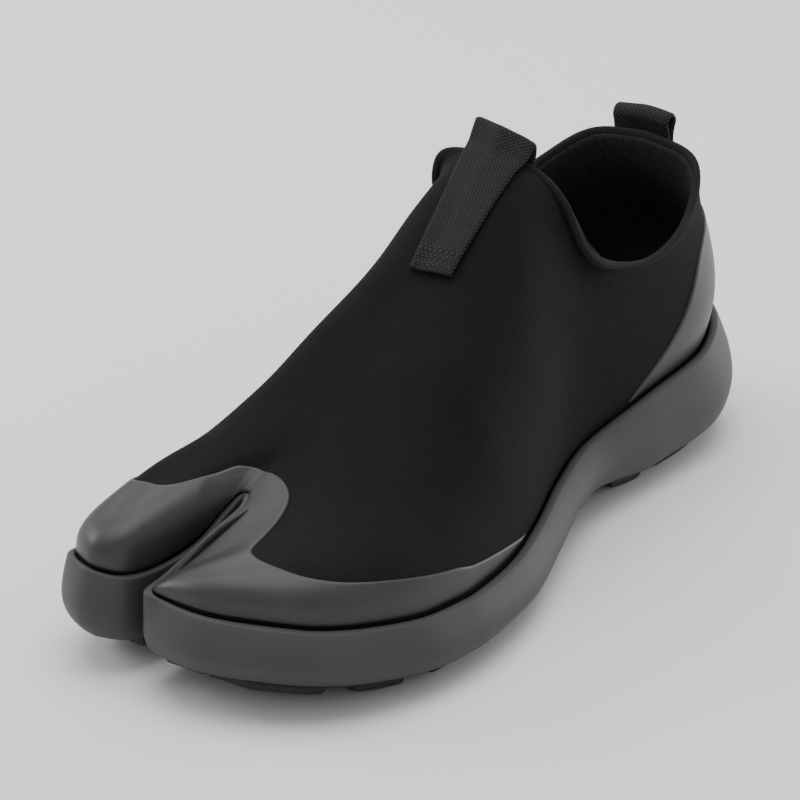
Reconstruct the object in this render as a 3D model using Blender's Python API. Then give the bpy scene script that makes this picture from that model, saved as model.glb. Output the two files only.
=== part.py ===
"""Split-toe slip-on sneaker for the left foot, built as named solids.

The tables are in millimetres: x runs from the heel to the toes, y to the wearer's left (the
outer side of this shoe) and z up from the ground. The scene is in metres, with the origin at
the middle of the shoe's box, on the ground.
"""

from collections import namedtuple

import bpy
import numpy as np

MM = 0.001

# Driving sizes, millimetres
GAP = 0.3
STEPS = 3
UPPER_WALL = 2.2
COLLAR_WALL = 3.0
SKIRT_CLEAR = 0.5
SLOT_SWELL = 0.6
OVERLAY_GAP = 0.4
OVERLAY_THICK = 0.9
INSOLE_GAP = 0.5
INSOLE_THICK = 3.3
MOST_INSOLE_START = 0.45
WEBBING_WIDTH = 20.0
WEBBING_THICK = 1.3
WEBBING_GAP = 0.8
FRONT_LOOP_RISE = 8.5
FRONT_LOOP_STOPS = (46, 38, 30, 22, 15, 9, 4)
FRONT_LOOP_SKEW = 3.0
HEEL_LOOP_RISE = 7.5
HEEL_LOOP_ROLL = 2.4
HEEL_LOOP_ASIDE = -2.0
HEEL_LOOP_SHARES = (0.8, 0.86, 0.93, 1.0)
LEG_GAP = 0.7
PAD_BASE = 1.4
PAD_DEPTH = 3.3
PAD_INSET = 1.0
FULL_LIP = 9.0
SHARP_ANGLE = 35.0

# Shares of the height of an upper rib, from the top of the sole's lip to the ridge or collar
RIB_SHARES = (0.0, 0.11, 0.25, 0.41, 0.57, 0.73, 0.88, 1.0)

# The sole's side: share of its height, and inset from its widest line
SIDE = (
    (0.0, 9.0),
    (0.08, 5.0),
    (0.22, 1.4),
    (0.40, 0.0),
    (0.62, 0.9),
    (0.82, 3.0),
    (0.94, 4.8),
    (0.985, 6.0),
    (1.0, 7.2),
)

# Heights along the shoe: underside, middle of the bed, and edge of the bed
Level = namedtuple("Level", "x under bed seat")
LEVELS = (
    Level(-5, 9.5, 26.0, 29.0),
    Level(12, 5.2, 25.5, 28.5),
    Level(26, 3.6, 25.0, 28.0),
    Level(34, 3.6, 25.0, 28.0),
    Level(66, 3.6, 24.0, 26.5),
    Level(74, 3.6, 23.5, 25.5),
    Level(90, 6.0, 22.0, 22.0),
    Level(112, 9.0, 19.5, 18.5),
    Level(140, 7.0, 16.5, 15.0),
    Level(166, 3.9, 14.5, 13.5),
    Level(176, 3.6, 14.2, 13.5),
    Level(184, 3.6, 14.0, 13.5),
    Level(198, 3.6, 14.0, 14.0),
    Level(206, 3.6, 14.5, 15.0),
    Level(235, 5.8, 16.5, 18.5),
    Level(255, 8.6, 19.5, 21.5),
    Level(278, 12.5, 23.0, 25.0),
)

# The spine: one line back from the fork, and one for each lobe of the toes
Spine = namedtuple("Spine", "name p x y ridge")
BACK_SPINE = (
    Spine("heel", 0.0, 37, 0, 92),
    Spine("ankle", 0.5, 75, 1, 92),
    Spine("throat", 1.0, 108, 0, 115),
    Spine("instep", 1.3, 136, -2, 97),
    Spine("cone", 1.6, 160, -5, 77),
    Spine("fork", 2.0, 190, -8, 56),
)
FOUR_SPINE = BACK_SPINE[-1:] + (
    Spine("knuckles", 2.3, 213, 10, 46.5),
    Spine("toes", 2.55, 231, 10, 43),
    Spine("nails", 2.78, 244, 8, 41),
    Spine("tips", 3.0, 255, 5.6, 39.5),
)
BIG_SPINE = BACK_SPINE[-1:] + (
    Spine("joint", 2.3, 212, -32, 50.5),
    Spine("toe", 2.55, 230, -37, 47),
    Spine("nail", 2.78, 243, -38, 44.5),
    Spine("tip", 3.0, 252, -37.8, 43),
)

# The collar's edge from the heel to the throat, on the outer and the inner side
Collar = namedtuple("Collar", "name p x outer inner z_outer z_inner")
COLLAR = (
    Collar("heel", 0.0, 19, 0, 0, 94, 94),
    Collar("corner", 0.16, 22, 20, -18, 90.5, 92),
    Collar("rear", 0.36, 43, 31, -27, 79, 86),
    Collar("low", 0.60, 72, 31.5, -29, 73.5, 80),
    Collar("front", 0.78, 97, 27, -25, 85, 94),
    Collar("shoulder", 0.88, 102, 20, -19, 104, 108),
    Collar("peak", 0.94, 106, 11, -11, 112.5, 113.5),
    Collar("throat", 1.0, 108, 0, 0, 115, 115),
)

# The sole's widest line, from the back of the heel forwards on the outer side, round the slot
# and back on the inner side. rim is the top of the lip, lip its whole inset, full the fullness
# of the upper's rib, cap and counter the share of the rib under the toe and heel overlays, p
# the place on the spine that the rib runs to, and sag how far the rib runs straight to it.
Station = namedtuple("Station", "name x y rim lip full cap counter p sag")
STATIONS = (
    Station("heel_back", 0, 0, 45, 9, 2.0, 0.0, 0.74, 0.0, 0.0),
    Station("heel_corner", 9, 27, 38, 9, 2.0, 0.0, 0.68, 0.16, 0.0),
    Station("heel_side", 35, 41, 34, 9, 2.0, 0.0, 0.57, 0.34, 0.0),
    Station("heel_front", 70, 41, 30.5, 9, 2.0, 0.0, 0.04, 0.58, 0.0),
    Station("waist", 105, 38, 25.5, 8.5, 2.0, 0.0, -0.3, 0.84, 0.0),
    Station("arch", 123, 41, 22.5, 8.5, 2.3, 0.0, 0.0, 1.0, 0.0),
    Station("midfoot", 146, 48, 20, 8.5, 2.2, -0.08, 0.0, 1.3, 0.0),
    Station("ball_rear", 172, 55.5, 19.5, 9, 2.2, 0.04, 0.0, 1.6, 0.0),
    Station("ball", 199, 58.5, 20.5, 9, 2.2, 0.13, 0.0, 2.0, 0.0),
    Station("ball_front", 208, 58.2, 21.1, 9, 2.3, 0.18, 0.0, 2.1, 0.0),
    Station("little_toe", 226, 55.5, 22.5, 9, 2.4, 0.265, 0.0, 2.3, 0.0),
    Station("ring_toe", 247, 46, 25, 9, 2.5, 0.42, 0.0, 2.55, 0.0),
    Station("middle_toe", 264, 29, 27.5, 9, 2.5, 0.78, 0.0, 2.78, 0.0),
    Station("four_tip", 273.5, 6, 29.5, 8, 2.5, 1.6, 0.0, 3.0, 0.0),
    Station("four_corner", 269, -13, 30, 5, 2.8, 0.95, 0.0, 2.78, 0.0),
    Station("slot_front_four", 257, -17.5, 30.7, 2.4, 2.6, 0.88, 0.0, 2.55, 0.55),
    Station("slot_rear_four", 237, -14.3, 37.8, 2.4, 2.2, 0.79, 0.0, 2.3, 0.85),
    Station("slot_end_four", 225, -13.2, 41, 2.4, 2.2, 0.62, 0.0, 2.1, 0.9),
    Station("crotch", 221, -14.9, 42.3, 2.4, 2.2, 0.48, 0.0, 2.0, 0.9),
    Station("slot_end_big", 225, -16.6, 39, 2.4, 2.4, 0.60, 0.0, 2.1, 0.75),
    Station("slot_rear_big", 237, -17.9, 33, 2.4, 2.8, 0.65, 0.0, 2.3, 0.35),
    Station("slot_front_big", 254, -20.8, 30.3, 2.4, 3.0, 0.76, 0.0, 2.55, 0.1),
    Station("big_corner", 265.5, -26, 32, 5, 2.8, 1.08, 0.0, 2.78, 0.0),
    Station("big_tip", 271, -37, 33, 8, 2.5, 1.6, 0.0, 3.0, 0.0),
    Station("big_side", 263, -49.5, 32, 9, 2.5, 1.15, 0.0, 2.78, 0.0),
    Station("nail_side", 246, -55, 28.5, 9, 2.5, 0.60, 0.0, 2.55, 0.0),
    Station("joint", 224, -56.5, 25, 9, 2.4, 0.34, 0.0, 2.3, 0.0),
    Station("ball_front_inner", 208, -55.2, 23.3, 9, 2.4, 0.25, 0.0, 2.1, 0.0),
    Station("ball_inner", 200, -54, 22.5, 9, 2.4, 0.21, 0.0, 2.0, 0.0),
    Station("ball_rear_inner", 173, -46.5, 21.5, 9, 2.4, 0.08, 0.0, 1.6, 0.0),
    Station("midfoot_inner", 147, -38.5, 22.5, 8.5, 2.4, -0.08, 0.0, 1.3, 0.0),
    Station("arch_inner", 123, -33.5, 25, 8.5, 2.4, 0.0, 0.0, 1.0, 0.0),
    Station("waist_inner", 104, -32, 27, 8.5, 2.0, 0.0, -0.3, 0.84, 0.0),
    Station("heel_front_inner", 68, -37, 31, 9, 2.0, 0.0, 0.04, 0.58, 0.0),
    Station("heel_side_inner", 35, -39.5, 34, 9, 2.0, 0.0, 0.57, 0.34, 0.0),
    Station("heel_corner_inner", 9, -26.5, 38, 9, 2.0, 0.0, 0.68, 0.16, 0.0),
)
STATION_NAMES = [station.name for station in STATIONS]

# Lug bars of each rubber pad: where they start and end along the shoe
Pad = namedtuple("Pad", "name side_a side_b bars")
PADS = (
    Pad("outsole_heel", "outer", "inner", ((12, 33), (41, 62), (70, 86))),
    Pad("outsole_ball", "outer", "inner", ((150, 176), (186, 216))),
    Pad("outsole_four_toes", "outer", "slot_four", ((226, 241), (248, 261))),
    Pad("outsole_big_toe", "slot_big", "inner", ((226, 239), (245, 256))),
)

# Material names, colours and finish
Finish = namedtuple("Finish", "name colour roughness")
KNIT = Finish("black_knit", (0.018, 0.018, 0.020, 1), 0.9)
FOAM = Finish("grey_foam", (0.10, 0.10, 0.11, 1), 0.6)
RUBBER = Finish("black_rubber", (0.03, 0.03, 0.032, 1), 0.7)
FILM = Finish("satin_film", (0.12, 0.12, 0.125, 1), 0.4)
WEBBING = Finish("black_webbing", (0.035, 0.035, 0.037, 1), 0.8)
LINER = Finish("black_liner", (0.012, 0.012, 0.013, 1), 0.95)


def ramp(start, end, value):
    """Smooth rise from 0 at start to 1 at end."""
    share = np.clip((np.asarray(value, float) - start) / (end - start), 0, 1)
    return share * share * (3 - 2 * share)


def curve_through(knots, values, at):
    """Smooth curve through the rows of values, read at the given places."""
    knots = np.asarray(knots, float)
    values = np.asarray(values, float)
    at = np.asarray(at, float)
    slopes = np.gradient(values, knots, axis=0)
    left = np.clip(np.searchsorted(knots, at, side="right") - 1, 0, len(knots) - 2)
    width = knots[left + 1] - knots[left]
    share = (at - knots[left]) / width
    if values.ndim > 1:
        width = width[..., None]
        share = share[..., None]
    start = (1 + 2 * share) * (1 - share) ** 2 * values[left]
    end = share**2 * (3 - 2 * share) * values[left + 1]
    leaving = share * (1 - share) ** 2 * width * slopes[left]
    arriving = share**2 * (share - 1) * width * slopes[left + 1]
    return start + end + leaving + arriving


class Rows:
    """Ribs of the shoe: one value of each column for every rib, in order round the outline."""

    def __init__(self, table, lobe, inward):
        self.x, self.y, self.rim, self.lip, self.full = table.T[:5]
        self.cap, self.counter, self.p, self.sag = table.T[5:]
        self.lobe = lobe
        self.inward = inward

    def inset(self, distance):
        """Plan points this far inside the widest line."""
        return np.column_stack([self.x, self.y]) + self.inward * np.reshape(distance, (-1, 1))


def outline(steps):
    """Ribs at the stations and between them, round the closed widest line of the sole."""
    table = np.array([station[1:] for station in STATIONS], float)
    count = len(table)
    lead = 3
    looped = np.vstack([table[-lead:], table, table[: lead + 1]])
    chords = np.sqrt(np.linalg.norm(np.diff(looped[:, :2], axis=0), axis=1))
    knots = np.concatenate([[0.0], np.cumsum(chords)])
    share = np.tile(np.arange(steps) / steps, count)
    left = np.repeat(np.arange(count), steps) + lead
    at = knots[left] + share * (knots[left + 1] - knots[left])
    ribs = curve_through(knots, looped, at)
    for straight in (5, 6, 7, 8):
        ribs[:, straight] = looped[left, straight] * (1 - share) + looped[left + 1, straight] * share
    along = np.roll(ribs[:, :2], -1, axis=0) - np.roll(ribs[:, :2], 1, axis=0)
    along /= np.linalg.norm(along, axis=1)[:, None]
    inward = np.column_stack([along[:, 1], -along[:, 0]])
    lobe = (np.arange(len(ribs)) >= STATION_NAMES.index("crotch") * steps).astype(int)
    return Rows(ribs, lobe, inward)


def spine_at(p, lobe):
    """x, y and ridge height of the spine, on the four toes (lobe 0) or the big toe (lobe 1)."""
    p = np.asarray(p, float)
    found = np.zeros((len(p), 3))
    for number, line in ((0, FOUR_SPINE), (1, BIG_SPINE)):
        whole = BACK_SPINE[:-1] + line
        chosen = (np.asarray(lobe) == number) & (p > 2.0)
        found[chosen] = curve_through([s.p for s in whole], [s[2:] for s in whole], p[chosen])
    back = p <= 2.0
    found[back] = curve_through([s.p for s in BACK_SPINE], [s[2:] for s in BACK_SPINE], p[back])
    return found


def collar_at(p, lobe):
    """Points of the collar's edge on the outer (lobe 0) or inner (lobe 1) side."""
    x, outer, inner, z_outer, z_inner = curve_through(
        [c.p for c in COLLAR], [c[2:] for c in COLLAR], np.clip(p, 0, 1)
    ).T
    on_outer = np.asarray(lobe) == 0
    return np.column_stack([x, np.where(on_outer, outer, inner), np.where(on_outer, z_outer, z_inner)])


def levels_at(x):
    """Heights of the underside, of the middle of the bed and of its edge."""
    return curve_through([row.x for row in LEVELS], [row[1:] for row in LEVELS], x).T


def upper_points(rows, shares):
    """Outer surface of the upper, rib by rib, at these shares of each rib."""
    shares = np.broadcast_to(np.asarray(shares, float), (len(rows.x), np.shape(shares)[-1]))
    foot = np.column_stack([rows.inset(rows.lip), rows.rim + SKIRT_CLEAR])
    spine = spine_at(rows.p, rows.lobe)
    top = np.where((rows.p < 1)[:, None], collar_at(rows.p, rows.lobe), spine)
    arched = ramp(0.55, 1.0, rows.p)[:, None]
    power = 2 / rows.full[:, None]
    turn = shares * np.pi / 2
    across = arched * (1 - np.cos(turn) ** power) + (1 - arched) * ramp(0, 1, shares)
    rise = arched * np.sin(turn) ** power + (1 - arched) * shares
    rise = rise + (across - rise) * rows.sag[:, None]
    in_slot = ramp(6.0, 3.0, rows.lip)
    swell = (1.5 + 3.5 * (1 - ramp(0.3, 0.9, rows.p))) * (1 - in_slot) + SLOT_SWELL * in_slot
    swell = swell[:, None] * np.sin(np.pi * shares) * (1 - shares)
    reach = top - foot
    plan = foot[:, None, :2] + reach[:, None, :2] * across[..., None]
    plan = plan - rows.inward[:, None, :] * swell[..., None]
    height = foot[:, None, 2] + reach[:, None, 2] * rise
    return np.concatenate([plan, height[..., None]], axis=2)


def bed_points(rows, shares):
    """The foot bed, rib by rib: share 0 is the inner face of the lip and 1 is the spine."""
    edge = rows.inset(rows.lip - GAP)
    middle = spine_at(rows.p, rows.lobe)[:, :2]
    shares = np.broadcast_to(np.asarray(shares, float), (len(rows.x), np.shape(shares)[-1]))
    plan = edge[:, None, :] + (middle - edge)[:, None, :] * shares[..., None]
    _, bed, seat = levels_at(plan[..., 0].ravel())
    dished = ramp(0, 0.7, shares).ravel()
    height = seat + (bed - seat) * dished
    return np.concatenate([plan, height.reshape(shares.shape)[..., None]], axis=2)


def grid_faces(count, columns, closed):
    """Triangles of a grid of ribs, facing out when ribs run clockwise and columns run up."""
    faces = []
    for i in range(count if closed else count - 1):
        following = (i + 1) % count
        for j in range(columns - 1):
            a = i * columns + j
            b = following * columns + j
            faces.append((a, b + 1, b))
            faces.append((a, a + 1, b + 1))
    return np.array(faces)


def weld(points, faces):
    """Points that coincide made one, and the faces that collapse dropped."""
    _, first, index = np.unique(
        np.round(points, 4), axis=0, return_index=True, return_inverse=True
    )
    faces = index.reshape(-1)[faces]
    whole = (faces[:, 0] != faces[:, 1]) & (faces[:, 1] != faces[:, 2]) & (faces[:, 0] != faces[:, 2])
    return points[first], faces[whole]


def point_normals(points, faces):
    """Unit normals of the points, weighted by the area of the faces round them."""
    corners = points[faces]
    facing = np.cross(corners[:, 1] - corners[:, 0], corners[:, 2] - corners[:, 0])
    normals = np.zeros_like(points)
    for corner in range(3):
        np.add.at(normals, faces[:, corner], facing)
    return normals / np.linalg.norm(normals, axis=1)[:, None]


def close_between(below, above, faces):
    """Closed solid between two copies of an open surface whose faces look from below to above."""
    count = len(below)
    used = {(a, b) for face in faces for a, b in zip(face, np.roll(face, -1))}
    bridges = []
    for a, b in sorted(used):
        if (b, a) not in used:
            bridges.append((b + count, a + count, a))
            bridges.append((b + count, a, b))
    return np.vstack([below, above]), np.vstack([faces[:, ::-1], faces + count, np.array(bridges)])


def thicken(points, faces, low, high):
    """Closed solid between two offsets of an open surface, with its edges bridged."""
    points, faces = weld(points, faces)
    normals = point_normals(points, faces)
    return close_between(points + normals * low, points + normals * high, faces)


def add_node(name, points, faces, finish, origin):
    """One named object with its own material, in metres from the shoe's origin."""
    mesh = bpy.data.meshes.new(name)
    mesh.from_pydata(((points - origin) * MM).tolist(), [], faces.tolist())
    mesh.update()
    mesh.shade_smooth()
    mesh.set_sharp_from_angle(angle=np.radians(SHARP_ANGLE))
    node = bpy.data.objects.new(name, mesh)
    bpy.context.scene.collection.objects.link(node)
    material = bpy.data.materials.new(f"{finish.name}_{name}")
    material.use_nodes = True
    shader = material.node_tree.nodes["Principled BSDF"]
    shader.inputs["Base Color"].default_value = finish.colour
    shader.inputs["Roughness"].default_value = finish.roughness
    mesh.materials.append(material)
    return node


def midsole(rows):
    """Foam sole: underside, bulging side, lip and dished bed, one closed ring of ribs."""
    scale = rows.lip / FULL_LIP
    lower_edge = rows.inset(SIDE[0][1] * scale)
    middle = spine_at(rows.p, rows.lobe)[:, :2]
    columns = []
    for share in (1.0, 0.66, 0.33):
        plan = lower_edge + (middle - lower_edge) * share
        columns.append(np.column_stack([plan, levels_at(plan[:, 0])[0]]))
    for share, inset in SIDE:
        plan = rows.inset(inset * scale)
        under = levels_at(plan[:, 0])[0]
        columns.append(np.column_stack([plan, under + (rows.rim - under) * share]))
    inner = rows.inset(rows.lip - GAP)
    columns.append(np.column_stack([inner, rows.rim - 0.5]))
    bed = bed_points(rows, [0.0, 0.2, 0.5, 1.0])
    grid = np.concatenate([np.stack(columns, axis=1), bed], axis=1)
    faces = grid_faces(len(grid), grid.shape[1], True)
    return weld(grid.reshape(-1, 3), faces)


def upper(rows):
    """Knit sock with a wall: a skirt down inside the lip, then ribs to the ridge or collar."""
    ribs = upper_points(rows, RIB_SHARES)
    hem = rows.inset(rows.lip)
    seat = levels_at(hem[:, 0])[2]
    skirt = np.column_stack([hem, seat + GAP])
    grid = np.concatenate([skirt[:, None, :], ribs], axis=1)
    shares = np.tile([0.0, *RIB_SHARES], (len(grid), 1))
    at_collar = ramp(0.75, 1.0, shares) * ramp(1.15, 1.0, rows.p)[:, None]
    wall = UPPER_WALL + (COLLAR_WALL - UPPER_WALL) * at_collar
    points = np.column_stack([grid.reshape(-1, 3), wall.ravel()])
    faces = grid_faces(len(grid), grid.shape[1], True)
    welded, faces = weld(points, faces)
    return thicken(welded[:, :3], faces, -welded[:, 3:], 0.0)


def overlay(rows, edge, first, last):
    """Film over part of the upper: each rib up to the share in edge, from rib first to last."""
    count = len(rows.x)
    chosen = np.arange(first, last + 1) % count
    shares = np.minimum(np.array(RIB_SHARES)[None, :], np.clip(edge, 0, 1)[:, None])
    grid = upper_points(rows, shares)[chosen]
    faces = grid_faces(len(grid), grid.shape[1], False)
    return thicken(grid.reshape(-1, 3), faces, OVERLAY_GAP, OVERLAY_GAP + OVERLAY_THICK)


def toe_overlay(rows):
    """Film over both toe tips, round the slot, and back along both sides to a point."""
    covered = np.flatnonzero(rows.cap > 0.02)
    return overlay(rows, rows.cap, covered[0] - 1, covered[-1] + 1)


def heel_overlay(rows):
    """Film wedge round the heel, with slanting front edges."""
    count = len(rows.x)
    covered = np.flatnonzero(rows.counter > 0.02)
    last = covered[covered < count // 2][-1] + 1
    first = covered[covered > count // 2][0] - 1
    return overlay(rows, rows.counter, first, last + count)


def insole(rows):
    """Sock liner on the bed, split at the toes, clear of the upper's wall."""
    edge = rows.inset(rows.lip - GAP)
    middle = spine_at(rows.p, rows.lobe)[:, :2]
    start = (UPPER_WALL + 5 * GAP) / np.sum((middle - edge) * rows.inward, axis=1)
    start = np.clip(start, 0, MOST_INSOLE_START)
    shares = start[:, None] + (1 - start)[:, None] * np.array([0.0, 0.25, 0.55, 1.0])[None, :]
    grid = bed_points(rows, shares)
    points, faces = weld(grid.reshape(-1, 3), grid_faces(len(grid), grid.shape[1], True))
    return close_between(points + (0, 0, INSOLE_GAP), points + (0, 0, INSOLE_GAP + INSOLE_THICK), faces)


def edge_chain(rows, side):
    """x and y of one run of the sole's lower edge, with x rising."""
    edge = rows.inset(SIDE[0][1] * rows.lip / FULL_LIP + PAD_INSET)
    ends = {
        "outer": ("heel_back", "four_tip"),
        "slot_four": ("four_corner", "crotch"),
        "slot_big": ("crotch", "big_corner"),
        "inner": ("big_tip", "heel_corner_inner"),
    }[side]
    steps = len(rows.x) // len(STATIONS)
    first, last = (STATION_NAMES.index(name) * steps for name in ends)
    run = edge[first : last + 1]
    return run[np.argsort(run[:, 0])]


def rubber_pad(rows, pad):
    """Rubber pad with lug bars across it, following the underside of the sole."""
    side_a = edge_chain(rows, pad.side_a)
    side_b = edge_chain(rows, pad.side_b)
    sections = []
    for number, (start, end) in enumerate(pad.bars):
        if number:
            sections.append((pad.bars[number - 1][1], start, PAD_BASE))
        sections.append((start, end, PAD_DEPTH))
    tops = []
    bottoms = []
    for start, end, depth in sections:
        for x in np.linspace(start, end, max(2, round((end - start) / 6))):
            y_a = np.interp(x, side_a[:, 0], side_a[:, 1])
            y_b = np.interp(x, side_b[:, 0], side_b[:, 1])
            under = levels_at(np.array([x]))[0][0] - GAP
            for y in np.linspace(y_b, y_a, 4):
                tops.append((x, y, under))
                bottoms.append((x, y, under - depth))
    faces = grid_faces(len(tops) // 4, 4, False)[:, ::-1]
    points, faces = close_between(np.array(bottoms), np.array(tops), faces)
    return weld(points, faces)


def ribs_at(p, lobe, rows):
    """Ribs read between the given ones, at these places on the spine behind the fork."""
    p = np.asarray(p, float)
    side = np.flatnonzero((rows.lobe == lobe) & (rows.p <= 2.0))
    if lobe == 0:
        side = side[side < len(rows.x) // 2]
        side = side[side <= STATION_NAMES.index("ball") * len(rows.x) // len(STATIONS)]
    else:
        side = side[side >= STATION_NAMES.index("ball_inner") * len(rows.x) // len(STATIONS)]
        side = np.append(side, 0)
    side = side[np.argsort(rows.p[side])]
    columns = [rows.x, rows.y, rows.rim, rows.lip, rows.full, rows.cap, rows.counter, rows.p, rows.sag]
    table = np.column_stack([np.interp(p, rows.p[side], column[side]) for column in columns])
    inward = np.column_stack([np.interp(p, rows.p[side], rows.inward[side, k]) for k in (0, 1)])
    return Rows(table, np.full(len(p), lobe), inward)


def across_spine(p, offsets, rows):
    """Points of the upper on one rib pair, at these distances from the spine."""
    fine = np.linspace(1.0, 0.3, 120)
    points = []
    for offset in offsets:
        lobe = 0 if offset >= 0 else 1
        rib = upper_points(ribs_at([p], lobe, rows), fine)[0]
        run = np.concatenate([[0.0], np.cumsum(np.linalg.norm(np.diff(rib, axis=0), axis=1))])
        points.append([np.interp(abs(offset), run, rib[:, axis]) for axis in range(3)])
    return np.array(points)


def loop_rows(outer, edge, normals, inner, rise):
    """Rows of a webbing loop: up the outside, over the collar's edge and down the inside."""
    up = edge - outer[-1]
    up /= np.linalg.norm(up, axis=1)[:, None]
    up = up * 0.35 + np.array([0, 0, 1.0])
    up /= np.linalg.norm(up, axis=1)[:, None]
    far = WEBBING_GAP + WEBBING_THICK / 2
    near = -(COLLAR_WALL + far)
    middle = (far + near) / 2
    radius = (far - near) / 2
    rows = list(outer)
    for height in (0.0, 0.5):
        rows.append(edge + normals * far + up * (rise - radius) * height)
    for turn in np.radians((0, 36, 72, 108, 144, 180)):
        sideways = middle + radius * np.cos(turn)
        rows.append(edge + normals * sideways + up * (rise - radius + radius * np.sin(turn)))
    for height in (0.5, 0.0):
        rows.append(edge + normals * near + up * (rise - radius) * height)
    return np.array(rows + list(inner))


def webbing(rows):
    """Closed strip of webbing whose mid surface runs through these rows."""
    faces = grid_faces(len(rows), rows.shape[1], False)
    half = WEBBING_THICK / 2
    return thicken(rows.reshape(-1, 3), faces, -half, half)


def front_pull_loop(rows):
    """Webbing from the instep up over the throat and down inside it."""
    offsets = np.linspace(-WEBBING_WIDTH / 2, WEBBING_WIDTH / 2, 7)
    places = np.linspace(1.5, 1.0, 41)
    paths = np.array([across_spine(p, offsets + FRONT_LOOP_SKEW * (p - 1) * 2, rows) for p in places])
    middle = paths[:, len(offsets) // 2]
    uphill = middle[-1] - middle[0]
    climb = paths @ (uphill / np.linalg.norm(uphill))
    top = climb[-1, len(offsets) // 2]
    stops = top - np.array(FRONT_LOOP_STOPS)
    sheet = np.zeros((len(stops), len(offsets), 3))
    for column in range(len(offsets)):
        for axis in range(3):
            sheet[:, column, axis] = np.interp(stops, climb[:, column], paths[:, column, axis])
    faces = grid_faces(len(stops), len(offsets), False)
    normals = point_normals(sheet.reshape(-1, 3), faces).reshape(sheet.shape)
    if normals[..., 2].sum() < 0:
        normals = -normals
    lift = WEBBING_GAP + WEBBING_THICK / 2
    outer = sheet + normals * lift
    inner = sheet - normals * (COLLAR_WALL + lift + GAP)
    edge = collar_edge_at(offsets)
    return webbing(loop_rows(outer, edge, normals[-1], inner[-2:-4:-1], FRONT_LOOP_RISE))


def collar_edge_at(offsets):
    """Points of the collar's front edge at these distances from its middle."""
    p = np.linspace(1.0, 0.8, 60)
    points = []
    for offset in offsets:
        side = collar_at(p, np.full(len(p), 0 if offset >= 0 else 1))
        points.append([np.interp(abs(offset), np.abs(side[:, 1]), side[:, axis]) for axis in range(3)])
    return np.array(points)


def heel_pull_loop(rows):
    """Webbing folded into a loop that stands up behind the collar, with both legs on the heel."""
    offsets = np.linspace(-WEBBING_WIDTH / 2, WEBBING_WIDTH / 2, 5) + HEEL_LOOP_ASIDE
    columns = []
    for offset in offsets:
        lobe = 0 if offset >= 0 else 1
        p = np.linspace(0.0, 0.2, 60)
        side = collar_at(p, np.full(len(p), lobe))
        place = np.interp(abs(offset), np.abs(side[:, 1]), p)
        columns.append(upper_points(ribs_at([place], lobe, rows), HEEL_LOOP_SHARES)[0])
    sheet = np.stack(columns, axis=1)
    faces = grid_faces(len(HEEL_LOOP_SHARES), len(offsets), False)
    normals = point_normals(sheet.reshape(-1, 3), faces).reshape(sheet.shape)
    if normals[..., 0].sum() > 0:
        normals = -normals
    near = WEBBING_GAP + WEBBING_THICK / 2
    far = near + WEBBING_THICK + LEG_GAP
    middle = (near + far) / 2
    path = list(sheet + normals * far)
    for turn in np.radians((-40, 0, 45, 90, 135, 180, 220)):
        height = HEEL_LOOP_RISE - HEEL_LOOP_ROLL * (1 - np.sin(turn))
        outward = normals[-1] * (middle + HEEL_LOOP_ROLL * np.cos(turn))
        path.append(sheet[-1] + outward + np.array([0, 0, height]))
    path += list((sheet + normals * near)[::-1])
    return webbing(np.array(path))


def build():
    """Clear the scene and add every node."""
    for old in list(bpy.data.objects):
        bpy.data.objects.remove(old, do_unlink=True)
    rows = outline(STEPS)
    origin = np.array([(rows.x.min() + rows.x.max()) / 2, (rows.y.min() + rows.y.max()) / 2, 0.0])
    solids = {
        "midsole": (midsole(rows), FOAM),
        "upper": (upper(rows), KNIT),
        "toe_overlay": (toe_overlay(rows), FILM),
        "heel_overlay": (heel_overlay(rows), FILM),
        "insole": (insole(rows), LINER),
        "front_pull_loop": (front_pull_loop(rows), WEBBING),
        "heel_pull_loop": (heel_pull_loop(rows), WEBBING),
    }
    for pad in PADS:
        solids[pad.name] = (rubber_pad(rows, pad), RUBBER)
    for name, ((points, faces), finish) in solids.items():
        add_node(name, points, faces, finish, origin)


build()
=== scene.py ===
"""Looks of a split-toe slip-on sneaker for the left foot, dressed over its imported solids.

The shape tables follow the part's own, in millimetres: x runs from the heel to the toes, y to the
wearer's left (the outer side of this shoe) and z up from the ground. Pieces are placed in
metres from the middle of the shoe's box.
"""

from collections import namedtuple

import bpy
import numpy as np
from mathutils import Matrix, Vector


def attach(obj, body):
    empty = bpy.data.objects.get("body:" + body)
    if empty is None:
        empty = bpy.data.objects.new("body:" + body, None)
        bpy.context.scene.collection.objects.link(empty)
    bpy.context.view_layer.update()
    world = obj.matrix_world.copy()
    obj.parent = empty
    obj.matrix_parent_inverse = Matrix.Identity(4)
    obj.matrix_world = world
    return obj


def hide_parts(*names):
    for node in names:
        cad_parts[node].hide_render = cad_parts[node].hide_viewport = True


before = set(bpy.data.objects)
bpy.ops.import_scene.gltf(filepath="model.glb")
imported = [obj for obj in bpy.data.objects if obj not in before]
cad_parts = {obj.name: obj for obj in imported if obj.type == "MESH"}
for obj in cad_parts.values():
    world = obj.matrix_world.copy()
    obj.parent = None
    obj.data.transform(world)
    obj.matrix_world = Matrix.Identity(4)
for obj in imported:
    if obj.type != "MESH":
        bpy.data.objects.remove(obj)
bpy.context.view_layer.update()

MM = 0.001

# Middle of the shoe, millimetres
ORIGIN = np.array([136.75, 1.0293, 0.0])

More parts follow.
